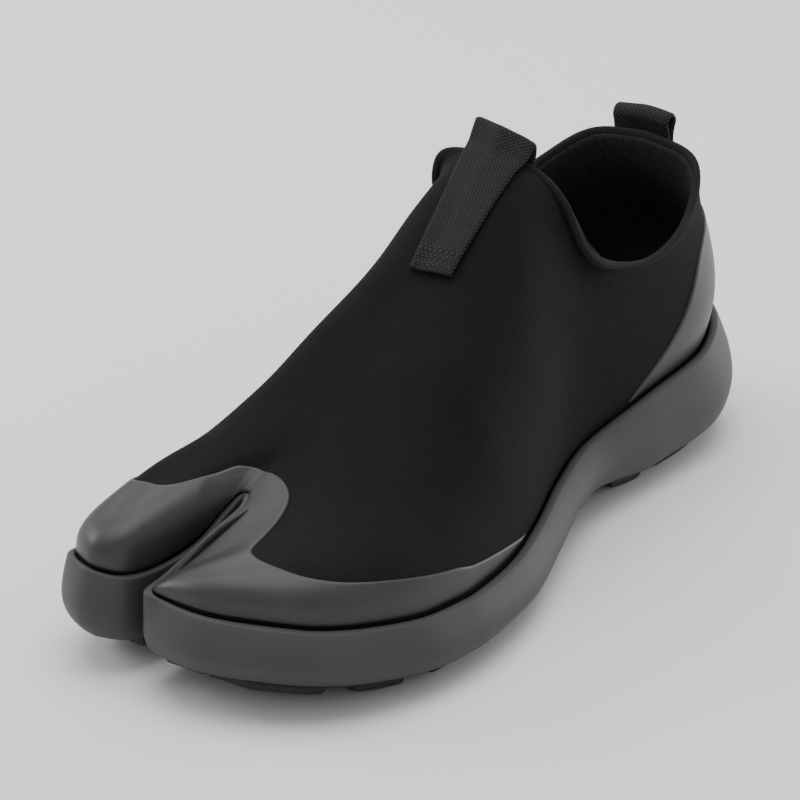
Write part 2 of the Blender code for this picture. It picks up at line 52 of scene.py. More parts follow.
# Counts of steps, points and rounds of smoothing
CAD_STEPS = 3
FINE_STEPS = 11
RIB_ROWS = 66
SIDE_ROWS = 64
RIM_POINTS = 280
RIM_TURNS = 24
STRIP_COLUMNS = 31
STITCH_SIDES = 6
FORK_ROUNDS = 260
RIDGE_ROUNDS = 100
SKIN_ROUNDS = 26
FILM_ROUNDS = 130
RIM_ROUNDS = 150
LINE_ROUNDS = 10
TOE_FILM_RIBS = 15
HEEL_FILM_RIBS = 9
SLOT_LIP_RIBS = 9

# Shares of a whole
PULL = 0.5
TIP_PULL = 0.6
MOST_INSOLE_START = 0.45
FRONT_LOOP_TAUT = 0.75
FRONT_LOOP_TWIST = 0.2
FRONT_LOOP_DRAWN = 0.2
HEEL_LOOP_SHARES = (0.8, 0.86, 0.93, 1.0)
LOOP_LEAN = 0.35
FILM_LEVELS = (0.0, 0.12, 0.35, 0.65, 1.0)
FILM_FOOT_SUNK = 0.8
SELVEDGE_THIN = 0.35
STITCH_RINGS = (0.12, 0.35, 0.65, 0.88)
STITCH_GAP = 0.1

# Driving sizes, millimetres
GAP = 0.3
KNIT_WALL = 1.5
LINING_WALL = 2.2
LINING_CLEAR = 0.15
LINING_DEEP = 0.6
COLLAR_WALL = 3.0
SKIRT_CLEAR = 0.5
TOE_SWELL = 1.5
HEEL_SWELL = 3.5
SLOT_SWELL = 0.6
FILM_LIFT = 0.08
FILM_THICK = 0.6
FILM_EDGE = 0.9
FILM_FOOT = 1.0
FILM_REACH = 10.0
FILM_CORNER = 7.0
FILM_FAR = -60.0
HEEL_FILM_END = 110
INSOLE_GAP = 0.5
INSOLE_THICK = 3.3
WEBBING_WIDTH = 20.0
WEBBING_THICK = 1.4
WEBBING_GAP = 0.8
WEBBING_STEP = 0.7
SELVEDGE = 0.9
FRONT_LOOP_RISE = 8.5
FRONT_LOOP_STOPS = (46, 38, 30, 22, 15, 9, 4)
FRONT_LOOP_SKEW = 5.2
HEEL_LOOP_RISE = 7.5
HEEL_LOOP_ROLL = 2.4
HEEL_LOOP_ASIDE = -2.0
LEG_GAP = 0.7
STITCH_PITCH = 1.5
STITCH_RADIUS = 0.2
RIM_HALF_WIDTH = 1.35
RIM_HALF_HEIGHT = 1.7
RIM_DROP = 0.6
RIM_PROUD = 0.15
PAD_BASE = 1.4
PAD_DEPTH = 3.3
PAD_INSET = 1.0
PAD_EDGE = 0.7
BAR_ROUND = 1.2
TREAD_STEP = 0.8
GROOVE_PITCH = 9
GROOVE_HALF = 0.9
GROOVE_DEPTH = 1.0
ZIG_WIDTH = 12
ZIG_DEPTH = 5
FULL_LIP = 9.0
USUAL_SIDE = 22
SLOT_ROUND = 0.9
SLOT_LIP_RISE = 1.0

# Lip widths between which a rib turns from a free one to one of the slot: for shape, and for smoothing
SLOT_LIPS = (6.0, 3.0)
HELD_LIPS = (4.0, 2.6)

# Zigzag seams of the loops: distance along the strip, depth, half width and number of corners
FRONT_SEAMS = ((1.0, 2.0, 8.8, 15), (3.8, 2.0, 8.8, 15), (6.6, 2.0, 8.8, 15))
HEEL_SEAMS = ((1.0, 1.8, 8.6, 17),)

# Soft folds of the knit: place and reach along the shoe, depth and pitch
Fold = namedtuple("Fold", "x reach depth pitch")
FLEX_FOLD = Fold(172, 20, 0.35, 4.2)
ANKLE_FOLD = Fold(100, 22, 0.45, 5.0)

# Colours, linear: one tone for cloth, and for the rest a place on a noise with a tone at it
KNIT_TONE = (0.0102, 0.0102, 0.0109)
# The collar rim is the same knit as the upper with a lighter tone: a painted highlight where light catches
# the rolled edge
RIM_TONE_WITH_PAINTED_HIGHLIGHT = (0.017, 0.017, 0.018)
LINING_TONE = (0.020, 0.020, 0.021)
LINER_TONE = (0.022, 0.022, 0.023)
FILM_TONES = ((0.3, (0.028, 0.028, 0.030)), (0.7, (0.036, 0.036, 0.039)))
FOAM_TONES = ((0.3, (0.046, 0.046, 0.051)), (0.7, (0.056, 0.056, 0.0615)))
RUBBER_TONES = ((0.3, (0.016, 0.016, 0.017)), (0.7, (0.026, 0.026, 0.028)))
THREAD_TONES = ((0.3, (0.014, 0.014, 0.015)), (0.7, (0.034, 0.034, 0.036)))
WEBBING_TONES = (
    (0.1, (0.0035, 0.0035, 0.0037)),
    (0.4, (0.008, 0.008, 0.0085)),
    (0.75, (0.031, 0.031, 0.033)),
)
SHEEN_TINT = (0.75, 0.75, 0.78, 1.0)
FLOOR_TONE = (0.86, 0.86, 0.86, 1.0)
SURROUND_TONE = (1.0, 1.0, 1.0, 1.0)

# Breadth and height of one stitch of the knit, millimetres
KNIT_STITCH = (1.15, 1.05)
RIM_STITCH = (1.1, 1.3)

# Stage and lights, metres and watts
FLOOR_HALF = 3.0
SURROUND = 0.66
Softbox = namedtuple("Softbox", "name place target size power")
SOFTBOXES = (
    Softbox("top", (-0.12, -0.10, 1.2), (0.0, 0.0, 0.03), (1.3, 1.1), 13.0),
    Softbox("right", (-1.1, 0.42, 0.18), (-0.05, 0.0, 0.03), (0.7, 0.4), 4.5),
    Softbox("left", (0.25, -0.95, 0.55), (0.08, -0.03, 0.03), (0.6, 0.4), 4.5),
    Softbox("back", (-0.85, -0.75, 0.75), (0.05, -0.02, 0.03), (0.6, 0.4), 1.8),
)

# The top of the lip: share of its breadth, and drop below the rim
LIP_TOP = ((0.2, 0.0), (0.45, 0.1), (0.62, 0.4), (0.78, 1.0), (0.9, 1.7), (1.0, 2.4))

# The sole's side: share of its height, and inset from its widest line
SIDE = (
    (0.0, 9.0),
    (0.08, 5.0),
    (0.22, 1.4),
    (0.40, 0.0),
    (0.62, 0.9),
    (0.82, 3.0),
    (0.94, 4.6),
    (0.985, 5.4),
    (1.0, 6.4),
)

# Heights along the shoe: underside, middle of the bed, and edge of the bed
Level = namedtuple("Level", "x under bed seat")
LEVELS = (
    Level(-5, 9.5, 26.0, 29.0),
    Level(12, 5.2, 25.5, 28.5),
    Level(26, 3.6, 25.0, 28.0),
    Level(34, 3.6, 25.0, 28.0),
    Level(66, 3.6, 24.0, 26.5),
    Level(74, 3.6, 23.5, 25.5),
    Level(90, 6.0, 22.0, 22.0),
    Level(112, 9.0, 19.5, 18.5),
    Level(140, 7.0, 16.5, 15.0),
    Level(166, 3.9, 14.5, 13.5),
    Level(176, 3.6, 14.2, 13.5),
    Level(184, 3.6, 14.0, 13.5),
    Level(198, 3.6, 14.0, 14.0),
    Level(206, 3.6, 14.5, 15.0),
    Level(235, 5.8, 16.5, 18.5),
    Level(255, 8.6, 19.5, 21.5),
    Level(278, 12.5, 23.0, 25.0),
)

# The spine: one line back from the fork, and one for each lobe of the toes
Spine = namedtuple("Spine", "name p x y ridge")
BACK_SPINE = (
    Spine("heel", 0.0, 37, 0, 92),
    Spine("ankle", 0.5, 75, 1, 92),
    Spine("throat", 1.0, 108, 0, 115),
    Spine("instep", 1.3, 136, -2, 97),
    Spine("cone", 1.6, 160, -5, 77),
    Spine("fork", 2.0, 190, -8.5, 57),
)
FORK_PLACE = BACK_SPINE[-1].p
FOUR_SPINE = BACK_SPINE[-1:] + (
    Spine("knuckles", 2.3, 213, 10, 46.5),
    Spine("toes", 2.55, 231, 10, 43),
    Spine("nails", 2.78, 244, 8, 41),
    Spine("tips", 3.0, 255, 5.6, 39.5),
)
BIG_SPINE = BACK_SPINE[-1:] + (
    Spine("joint", 2.3, 212, -32, 52),
    Spine("toe", 2.55, 230, -37, 47),
    Spine("nail", 2.78, 243, -38, 44.5),
    Spine("tip", 3.0, 252, -37.8, 43),
)

# The collar's edge from the heel to the throat, on the outer and the inner side
Collar = namedtuple("Collar", "name p x outer inner z_outer z_inner")
COLLAR = (
    Collar("heel", 0.0, 19, 0, 0, 94, 94),
    Collar("corner", 0.16, 22, 20, -18, 90.5, 92),
    Collar("rear", 0.36, 43, 31, -27, 79, 86),
    Collar("low", 0.60, 75.5, 31.5, -29, 74.3, 80),
    Collar("front", 0.78, 103, 27, -25.5, 87.5, 97),
    Collar("shoulder", 0.88, 107, 20, -20, 106, 111.5),
    Collar("peak", 0.94, 106, 11, -11, 112.5, 113.5),
    Collar("throat", 1.0, 108, 0, 0, 115, 115),
)
THROAT_PLACE = COLLAR[-1].p

# The sole's widest line, from the back of the heel forwards on the outer side, round the slot
# and back on the inner side. rim is the top of the lip, lip its whole inset, full the fullness
# of the upper's rib, film the reach of the toe film from the sole's edge, counter the share of
# the rib under the heel film, p the place on the spine that the rib runs to, and sag how far
# the rib runs straight to it.
Station = namedtuple("Station", "name x y rim lip full film counter p sag")
STATIONS = (
    Station("heel_back", 0, 0, 45, 9, 2.0, -20, 0.70, 0.0, 0.0),
    Station("heel_corner", 9, 27, 38, 9, 2.0, -20, 0.71, 0.16, 0.0),
    Station("heel_side", 35, 41, 34, 9, 2.0, -20, 0.69, 0.34, 0.0),
    Station("heel_front", 70, 41, 30.5, 9, 2.0, -20, 0.13, 0.58, 0.0),
    Station("waist", 105, 38, 25.5, 8.5, 2.0, -20, -0.3, 0.84, 0.0),
    Station("arch", 123, 41, 22.5, 8.5, 2.3, -10, 0.0, 1.0, 0.0),
    Station("midfoot", 146, 48, 20, 8.5, 2.2, -2.4, 0.0, 1.3, 0.0),
    Station("ball_rear", 172, 55.5, 19.5, 9, 2.2, 4.2, 0.0, 1.6, 0.0),
    Station("ball", 199, 58.5, 20.5, 9, 2.2, 7.6, 0.0, 2.0, 0.0),
    Station("ball_front", 208, 58.2, 21.1, 9, 2.3, 9.0, 0.0, 2.1, 0.0),
    Station("little_toe", 226, 55.5, 22.5, 9, 2.4, 11.0, 0.0, 2.3, 0.0),
    Station("ring_toe", 247, 46, 25, 9, 2.5, 12.3, 0.0, 2.55, 0.0),
    Station("long_toe", 256.8, 38.2, 26.2, 9, 2.5, 12.7, 0.0, 2.665, 0.0),
    Station("middle_toe", 264, 29, 27.5, 9, 2.5, 12.4, 0.0, 2.78, 0.0),
    Station("four_tip", 273.5, 6, 29.5, 8, 2.5, 14.0, 0.0, 3.0, 0.0),
    Station("four_corner", 270.6, -11.5, 30, 5.5, 2.8, 18.0, 0.0, 2.78, 0.35),
    Station("four_edge", 266.8, -17.0, 30, 3.6, 2.8, 18.5, 0.0, 2.665, 0.7),
    Station("slot_front_four", 257, -17.6, 30.7, 2.4, 2.6, 18.5, 0.0, 2.55, 0.95),
    Station("slot_rear_four", 237, -14.3, 37.8, 2.4, 2.2, 15.0, 0.0, 2.3, 0.95),
    Station("slot_end_four", 225, -13.2, 41, 2.4, 2.2, 13.6, 0.0, 2.1, 0.9),
    Station("crotch", 221, -14.9, 42.3, 2.4, 2.2, 7.0, 0.0, 2.0, 0.9),
    Station("slot_end_big", 225, -16.6, 39, 2.4, 2.4, 8.0, 0.0, 2.1, 0.75),
    Station("slot_rear_big", 237, -18.2, 33, 2.4, 3.0, 14.5, 0.0, 2.3, 0.25),
    Station("slot_front_big", 254, -21.8, 30.3, 2.4, 3.3, 20.0, 0.0, 2.55, 0.0),
    Station("big_edge", 264.4, -24.6, 31.3, 3.6, 3.3, 21.5, 0.0, 2.665, 0.0),
    Station("big_corner", 268.8, -29.4, 32, 4.8, 3.0, 22.5, 0.0, 2.78, 0.0),
    Station("big_tip", 271, -37, 33, 5.5, 2.35, 23.5, 0.0, 3.0, 0.0),
    Station("big_side", 263, -49.5, 32, 5.0, 2.2, 21.5, 0.0, 2.78, 0.0),
    Station("nail_front", 255.4, -53.2, 30.4, 5.5, 2.2, 20.0, 0.0, 2.665, 0.0),
    Station("nail_side", 246, -55, 28.5, 6.5, 2.3, 18.5, 0.0, 2.55, 0.0),
    Station("joint", 224, -56.5, 25, 8.5, 2.5, 14.0, 0.0, 2.3, 0.0),
    Station("ball_front_inner", 208, -55.2, 23.3, 9, 3.2, 11.5, 0.0, 2.1, 0.0),
    Station("ball_inner", 200, -54, 22.5, 9, 3.3, 10.0, 0.0, 2.0, 0.0),
    Station("ball_rear_inner", 173, -46.5, 21.5, 9, 3.1, 5.0, 0.0, 1.6, 0.0),
    Station("midfoot_inner", 147, -38.5, 22.5, 8.5, 2.6, -2.4, 0.0, 1.3, 0.0),
    Station("arch_inner", 123, -33.5, 25, 8.5, 2.85, -10, 0.0, 1.0, 0.0),
    Station("waist_inner", 104, -32, 27, 8.5, 2.3, -20, -0.3, 0.84, 0.0),
    Station("heel_front_inner", 68, -37, 31, 9, 2.0, -20, 0.13, 0.58, 0.0),
    Station("heel_side_inner", 35, -39.5, 34, 9, 2.0, -20, 0.69, 0.34, 0.0),
    Station("heel_corner_inner", 9, -26.5, 38, 9, 2.0, -20, 0.71, 0.16, 0.0),
)
STATION_NAMES = [station.name for station in STATIONS]

# Columns that run straight from station to station
STRAIGHT_COLUMNS = [Station._fields.index(name) - 1 for name in ("film", "counter", "p", "sag")]
PLACE_COLUMN = Station._fields.index("p") - 1

# Lug bars of each rubber pad: where they start and end along the shoe
Pad = namedtuple("Pad", "name side_a side_b bars")
PADS = (
    Pad("outsole_heel", "outer", "inner", ((12, 33), (41, 62), (70, 86))),
    Pad("outsole_ball", "outer", "inner", ((150, 176), (186, 216))),
    Pad("outsole_four_toes", "outer", "slot_four", ((226, 241), (248, 261))),
    Pad("outsole_big_toe", "slot_big", "inner", ((226, 239), (245, 256))),
)

# Camera: its place in the shoe's own millimetres, its angle, and the picture it was matched on
CAMERA_PLACE = (1030.06, 581.64, 539.55)
CAMERA_AZIMUTH = 125.5
CAMERA_ELEVATION = 23.6
CAMERA_PIXELS = 1600.0
FRAME_PIXELS = 800.0
LOOK_PIXEL = (443.0, 437.0)
LENS = 174.0
SENSOR = 36.0


def ramp(start, end, value):
    """Smooth rise from 0 at start to 1 at end."""
    share = np.clip((np.asarray(value, float) - start) / (end - start), 0, 1)
    return share * share * (3 - 2 * share)


def curve_through(knots, values, at):
    """Smooth curve through the rows of values, read at the given places."""
    knots = np.asarray(knots, float)
    values = np.asarray(values, float)
    at = np.asarray(at, float)
    slopes = np.gradient(values, knots, axis=0)
    left = np.clip(np.searchsorted(knots, at, side="right") - 1, 0, len(knots) - 2)
    width = knots[left + 1] - knots[left]
    share = (at - knots[left]) / width
    if values.ndim > 1:
        width = width[..., None]
        share = share[..., None]
    start = (1 + 2 * share) * (1 - share) ** 2 * values[left]
    end = share**2 * (3 - 2 * share) * values[left + 1]
    leaving = share * (1 - share) ** 2 * width * slopes[left]
    arriving = share**2 * (share - 1) * width * slopes[left + 1]
    return start + end + leaving + arriving


def run_length(points):
    """Distance along a line of points from its first one."""
    return np.concatenate([[0.0], np.cumsum(np.linalg.norm(np.diff(points, axis=0), axis=1))])


class Rows:
    """Ribs of the shoe: one value of each column for every rib, in order round the outline."""

    def __init__(self, table, lobe, inward):
        self.x, self.y, self.rim, self.lip, self.full = table.T[:5]
        self.film, self.counter, self.p, self.sag = table.T[5:]
        self.lobe = lobe
        self.inward = inward

    def inset(self, distance):
        """Plan points this far inside the widest line."""
        return np.column_stack([self.x, self.y]) + self.inward * np.reshape(distance, (-1, 1))


def outline(steps):
    """Ribs at the stations and between them, round the closed widest line of the sole."""
    table = np.array([station[1:] for station in STATIONS], float)
    count = len(table)
    lead = 3
    looped = np.vstack([table[-lead:], table, table[: lead + 1]])
    chords = np.sqrt(np.linalg.norm(np.diff(looped[:, :2], axis=0), axis=1))
    knots = np.concatenate([[0.0], np.cumsum(chords)])
    share = np.tile(np.arange(steps) / steps, count)
    left = np.repeat(np.arange(count), steps) + lead
    at = knots[left] + share * (knots[left + 1] - knots[left])
    ribs = curve_through(knots, looped, at)
    for straight in STRAIGHT_COLUMNS:
        ribs[:, straight] = looped[left, straight] * (1 - share) + looped[left + 1, straight] * share
    ribs[:, PLACE_COLUMN] = np.round(ribs[:, PLACE_COLUMN], 6)
    along = np.roll(ribs[:, :2], -1, axis=0) - np.roll(ribs[:, :2], 1, axis=0)
    along /= np.linalg.norm(along, axis=1)[:, None]
    inward = np.column_stack([along[:, 1], -along[:, 0]])
    lobe = (np.arange(len(ribs)) >= STATION_NAMES.index("crotch") * steps).astype(int)
    return Rows(ribs, lobe, inward)


def spine_at(p, lobe):
    """x, y and ridge height of the spine, on the four toes (lobe 0) or the big toe (lobe 1)."""
    p = np.asarray(p, float)
    found = np.zeros((len(p), 3))
    for number, line in ((0, FOUR_SPINE), (1, BIG_SPINE)):
        whole = BACK_SPINE[:-1] + line
        chosen = (np.asarray(lobe) == number) & (p > FORK_PLACE)
        found[chosen] = curve_through([s.p for s in whole], [s[2:] for s in whole], p[chosen])
    back = p <= FORK_PLACE
    found[back] = curve_through([s.p for s in BACK_SPINE], [s[2:] for s in BACK_SPINE], p[back])
    return found


def collar_at(p, lobe):
    """Points of the collar's edge on the outer (lobe 0) or inner (lobe 1) side."""
    x, outer, inner, z_outer, z_inner = curve_through(
        [c.p for c in COLLAR], [c[2:] for c in COLLAR], np.clip(p, 0, 1)
    ).T
    on_outer = np.asarray(lobe) == 0
    return np.column_stack([x, np.where(on_outer, outer, inner), np.where(on_outer, z_outer, z_inner)])


def levels_at(x):
    """Heights of the underside, of the middle of the bed and of its edge."""
    return curve_through([row.x for row in LEVELS], [row[1:] for row in LEVELS], x).T


def upper_points(rows, shares):
    """Outer surface of the upper, rib by rib, at these shares of each rib."""
    shares = np.broadcast_to(np.asarray(shares, float), (len(rows.x), np.shape(shares)[-1]))
    foot = np.column_stack([rows.inset(rows.lip), rows.rim + SKIRT_CLEAR])
    spine = spine_at(rows.p, rows.lobe)
    top = np.where((rows.p < THROAT_PLACE)[:, None], collar_at(rows.p, rows.lobe), spine)
    arched = ramp(0.55, 1.0, rows.p)[:, None]
    power = 2 / rows.full[:, None]
    turn = shares * np.pi / 2
    across = arched * (1 - np.cos(turn) ** power) + (1 - arched) * ramp(0, 1, shares)
    rise = arched * np.sin(turn) ** power + (1 - arched) * shares
    rise = rise + (across - rise) * rows.sag[:, None]
    in_slot = ramp(*SLOT_LIPS, rows.lip)
    free_swell = TOE_SWELL + HEEL_SWELL * (1 - ramp(0.3, 0.9, rows.p))
    swell = free_swell * (1 - in_slot) + SLOT_SWELL * in_slot
    swell = swell[:, None] * np.sin(np.pi * shares) * (1 - shares)
    reach = top - foot
    plan = foot[:, None, :2] + reach[:, None, :2] * across[..., None]
    plan = plan - rows.inward[:, None, :] * swell[..., None]
    height = foot[:, None, 2] + reach[:, None, 2] * rise
    return np.concatenate([plan, height[..., None]], axis=2)


def bed_points(rows, shares):
    """The foot bed, rib by rib: share 0 is the inner face of the lip and 1 is the spine."""
    edge = rows.inset(rows.lip - GAP)
    middle = spine_at(rows.p, rows.lobe)[:, :2]
    shares = np.broadcast_to(np.asarray(shares, float), (len(rows.x), np.shape(shares)[-1]))
    plan = edge[:, None, :] + (middle - edge)[:, None, :] * shares[..., None]
    _, bed, seat = levels_at(plan[..., 0].ravel())
    dished = ramp(0, 0.7, shares).ravel()
    height = seat + (bed - seat) * dished
    return np.concatenate([plan, height.reshape(shares.shape)[..., None]], axis=2)


def grid_quads(count, columns, closed):
    """Quads of a grid of ribs, facing out when ribs run clockwise and columns run up."""
    first = np.arange(count if closed else count - 1)
    a = (first[:, None] * columns + np.arange(columns - 1)[None, :]).ravel()
    b = (((first + 1) % count)[:, None] * columns + np.arange(columns - 1)[None, :]).ravel()
    return np.column_stack([a, a + 1, b + 1, b])


def weld(points, quads):
    """First index of each distinct point, the new index of every point, and the quads renumbered."""
    _, first, index = np.unique(np.round(points, 3), axis=0, return_index=True, return_inverse=True)
    index = index.reshape(-1)
    return first, index, index[quads]


def point_normals(points, quads):
    """Unit normals of the points, from the diagonals of the quads round them."""
    facing = np.cross(points[quads[:, 2]] - points[quads[:, 0]], points[quads[:, 3]] - points[quads[:, 1]])
    normals = np.zeros_like(points)
    for corner in range(4):
        np.add.at(normals, quads[:, corner], facing)
    return normals / np.maximum(np.linalg.norm(normals, axis=1), 1e-9)[:, None]


def halves(quads):
    """Quads split into triangles, all along the same diagonal."""
    return np.vstack([quads[:, [0, 1, 2]], quads[:, [0, 2, 3]]])


def polygons(quads):
    """Faces as lists of corners, with repeated corners dropped and collapsed faces left out."""
    faces = []
    for quad in quads.tolist():
        face = [corner for k, corner in enumerate(quad) if corner != quad[k - 1]]
        if len(set(face)) == len(face) and len(face) > 2:
            faces.append(face)
    return faces


def shell(below, above, quads):
    """Closed shell between two copies of an open surface whose quads look from below to above."""
    count = len(below)
    faces = polygons(quads)
    used = {(a, b) for face in faces for a, b in zip(face, face[1:] + face[:1])}
    bridges = [(a, b, b + count, a + count) for a, b in sorted(used) if (b, a) not in used]
    lower = [face[::-1] for face in faces]
    upper = [[corner + count for corner in face] for face in faces]
    return np.vstack([below, above]), lower + upper + [list(face) for face in bridges]


def smoothed(points, quads, pull, rounds):
    """Points drawn towards the middle of their neighbours, each by its own pull."""
    ends = np.vstack([quads[:, [0, 1]], quads[:, [1, 2]], quads[:, [2, 3]], quads[:, [3, 0]]])
    ends = np.unique(np.sort(ends[ends[:, 0] != ends[:, 1]], axis=1), axis=0)
    a, b = ends.T
    count = len(points)
    degree = np.bincount(ends.ravel(), minlength=count)
    for _ in range(rounds):
        middle = np.empty_like(points)
        for axis in range(points.shape[1]):
            total = np.bincount(a, points[b, axis], count) + np.bincount(b, points[a, axis], count)
            middle[:, axis] = total / degree
        points = points + (middle - points) * pull[:, None]
    return points


def add_piece(name, points, faces, material, nodes=(), layers=None):
    """One smooth piece of the shoe, with its material and the solids it stands for."""
    mesh = bpy.data.meshes.new(name)
    mesh.from_pydata(((points - ORIGIN) * MM).tolist(), [], faces)
    mesh.update()
    mesh.shade_smooth()
    for key, values in (layers or {}).items():
        layer = mesh.attributes.new(key, "FLOAT_VECTOR", "POINT")
        layer.data.foreach_set("vector", np.ascontiguousarray(values, np.float32).ravel())
    piece = bpy.data.objects.new(name, mesh)
    bpy.context.scene.collection.objects.link(piece)
    mesh.materials.append(material)
    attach(piece, "root")
    if nodes:
        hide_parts(*nodes)
    return piece


class Shade:
    """A material in the making: short calls that add nodes and link them."""

    def __init__(self, name):
        self.material = bpy.data.materials.new(name)
        self.material.use_nodes = True
        self.tree = self.material.node_tree
        self.shader = self.tree.nodes["Principled BSDF"]

    def put(self, socket, value):
        """Set a socket to a number or a colour, or link it to another socket."""
        if isinstance(value, bpy.types.NodeSocket):
            self.tree.links.new(value, socket)
        else:
            socket.default_value = value

    def set(self, **values):
        """Set inputs of the surface shader, with their names written with underscores."""
        for key, value in values.items():
            self.put(self.shader.inputs[key.replace("_", " ")], value)

    def math(self, operation, *values):
        """A Math node's result."""
        node = self.tree.nodes.new("ShaderNodeMath")
        node.operation = operation
        for socket, value in zip(node.inputs, values):
            self.put(socket, value)
        return node.outputs[0]

    def layer(self, key):
        """x and y of a point layer of the mesh."""
        node = self.tree.nodes.new("ShaderNodeAttribute")
        node.attribute_name = key
        split = self.tree.nodes.new("ShaderNodeSeparateXYZ")
        self.tree.links.new(node.outputs["Vector"], split.inputs[0])
        return split.outputs[0], split.outputs[1]

    def noise(self, scale, detail, roughness=0.5):
        """Noise in the object's own space, in cycles a metre."""
        place = self.tree.nodes.new("ShaderNodeTexCoord")
        node = self.tree.nodes.new("ShaderNodeTexNoise")
        self.tree.links.new(place.outputs["Object"], node.inputs["Vector"])
        node.inputs["Scale"].default_value = scale
        node.inputs["Detail"].default_value = detail
        node.inputs["Roughness"].default_value = roughness
        return node.outputs[0]

    def tones(self, factor, *stops):
        """Grey or tinted tones along a factor: each stop is a place and a colour."""
        node = self.tree.nodes.new("ShaderNodeValToRGB")
        self.put(node.inputs[0], factor)
        row = node.color_ramp.elements
        while len(row) < len(stops):
            row.new(0.5)
        for element, (place, colour) in zip(row, stops):
            element.position = place
            element.color = (*colour, 1.0)
        return node.outputs[0]

    def bump(self, height, distance, strength=1.0):
        """Bump the surface by a height, in millimetres for a height of 1."""
        node = self.tree.nodes.new("ShaderNodeBump")
        node.inputs["Strength"].default_value = strength
        node.inputs["Distance"].default_value = distance * MM
        self.put(node.inputs["Height"], height)
        self.put(self.shader.inputs["Normal"], node.outputs[0])


def stitch_height(shade, key, wale, course):
    """Height of plain knit: two slanting legs in each wale, course after course."""
    along, down = shade.layer(key)
    place = shade.math("SUBTRACT", shade.math("FRACT", shade.math("DIVIDE", along, wale)), 0.5)
    legs = shade.math("ABSOLUTE", shade.math("SINE", shade.math("MULTIPLY", place, 2 * np.pi)))
    slant = shade.math("MULTIPLY", shade.math("ABSOLUTE", place), 1.3)
    turn = shade.math("ADD", shade.math("DIVIDE", down, course), slant)
    wave = shade.math("SINE", shade.math("MULTIPLY", turn, 2 * np.pi))
    wave = shade.math("MULTIPLY_ADD", wave, 0.35, 0.65)
    return shade.math("MULTIPLY", shade.math("POWER", legs, 0.6), wave)


def knit_material(name, tone, wale, course):
    """Matte knit with its stitches, a little heather, painted shade in the stitch hollows, and soft sheen.
    """
    shade = Shade(name)
    height = stitch_height(shade, "knit_mm", wale, course)
    heather = shade.noise(1100.0, 3.0, 0.7)
    broad = shade.noise(38.0, 2.0)
    mix = shade.math("MULTIPLY_ADD", heather, 0.6, shade.math("MULTIPLY", broad, 0.3))
    # Colour scaled by the stitch height: painted shade in the hollows between the stitch legs; the heather
    # and broad noise are the yarn's own tone
    mix = shade.math("MULTIPLY", mix, shade.math("MULTIPLY_ADD", height, 0.6, 0.5))
    dark = [value * 0.5 for value in tone]
    light = [value * 1.9 for value in tone]
    shade.set(Base_Color=shade.tones(mix, (0.12, dark), (0.42, tone), (0.8, light)))
    shade.set(Roughness=0.9, Specular_IOR_Level=0.12)
    shade.set(Sheen_Weight=0.02, Sheen_Roughness=0.5, Sheen_Tint=SHEEN_TINT)
    shade.bump(height, 0.25, 0.7)
    return shade.material


def film_material():
    """Satin film: smooth grey with a faint grain and uneven gloss."""
    shade = Shade("satin_film")
    grain = shade.noise(2600.0, 2.0)
    patches = shade.noise(55.0, 3.0)
    shade.set(Base_Color=shade.tones(patches, *FILM_TONES))
    shade.set(Roughness=shade.math("MULTIPLY_ADD", patches, 0.10, 0.38), Specular_IOR_Level=0.4)
    shade.bump(grain, 0.03, 0.5)
    return shade.material


def foam_material():
    """Moulded foam: dark grey skin, softly glossy, with fine pebbling and faint mottling."""
    shade = Shade("moulded_foam")
    pebble = shade.noise(1500.0, 2.0)
    patches = shade.noise(30.0, 3.0)
    shade.set(Base_Color=shade.tones(patches, *FOAM_TONES))
    shade.set(Roughness=shade.math("MULTIPLY_ADD", patches, 0.10, 0.50), Specular_IOR_Level=0.25)
    shade.bump(pebble, 0.06, 0.5)
    return shade.material


def rubber_material():
    """Matte black rubber with fine speckle."""
    shade = Shade("tread_rubber")
    speckle = shade.noise(1200.0, 3.0)
    shade.set(Base_Color=shade.tones(speckle, *RUBBER_TONES))
    shade.set(Roughness=0.68, Specular_IOR_Level=0.4)
    shade.bump(speckle, 0.08, 0.5)
    return shade.material


def webbing_material():
    """Twill webbing: fine crossed ribs in small diamonds, with lighter flecks of thread."""
    shade = Shade("twill_webbing")
    across, along = shade.layer("weave_mm")
    waves = []
    for slope in (1.0, -1.0):
        turn = shade.math("MULTIPLY_ADD", across, slope / 1.25, shade.math("DIVIDE", along, 1.35))
        waves.append(shade.math("SINE", shade.math("MULTIPLY", turn, 2 * np.pi)))
    crossed = shade.math("MULTIPLY_ADD", shade.math("ADD", *waves), 0.25, 0.5)
    fleck = shade.noise(1500.0, 2.0, 0.7)
    mix = shade.math("MULTIPLY", crossed, shade.math("MULTIPLY_ADD", fleck, 0.9, 0.35))
    shade.set(Base_Color=shade.tones(mix, *WEBBING_TONES))
    shade.set(Roughness=0.78, Specular_IOR_Level=0.25)
    shade.bump(crossed, 0.25, 0.9)
    return shade.material


def lining_material(name, tone):
    """Near-black brushed cloth for the inside."""
    shade = Shade(name)
    nap = shade.noise(1100.0, 3.0, 0.65)
    dark = [value * 0.55 for value in tone]
    light = [value * 1.5 for value in tone]
    shade.set(Base_Color=shade.tones(nap, (0.3, dark), (0.7, light)))
    shade.set(Roughness=0.95, Specular_IOR_Level=0.15)
    shade.bump(nap, 0.15, 0.7)
    return shade.material


def thread_material():
    """Dull grey sewing thread."""
    shade = Shade("sewing_thread")
    twist = shade.noise(3000.0, 1.0)
    shade.set(Base_Color=shade.tones(twist, *THREAD_TONES))
    shade.set(Roughness=0.6, Specular_IOR_Level=0.4)
    shade.bump(twist, 0.05, 0.5)
    return shade.material


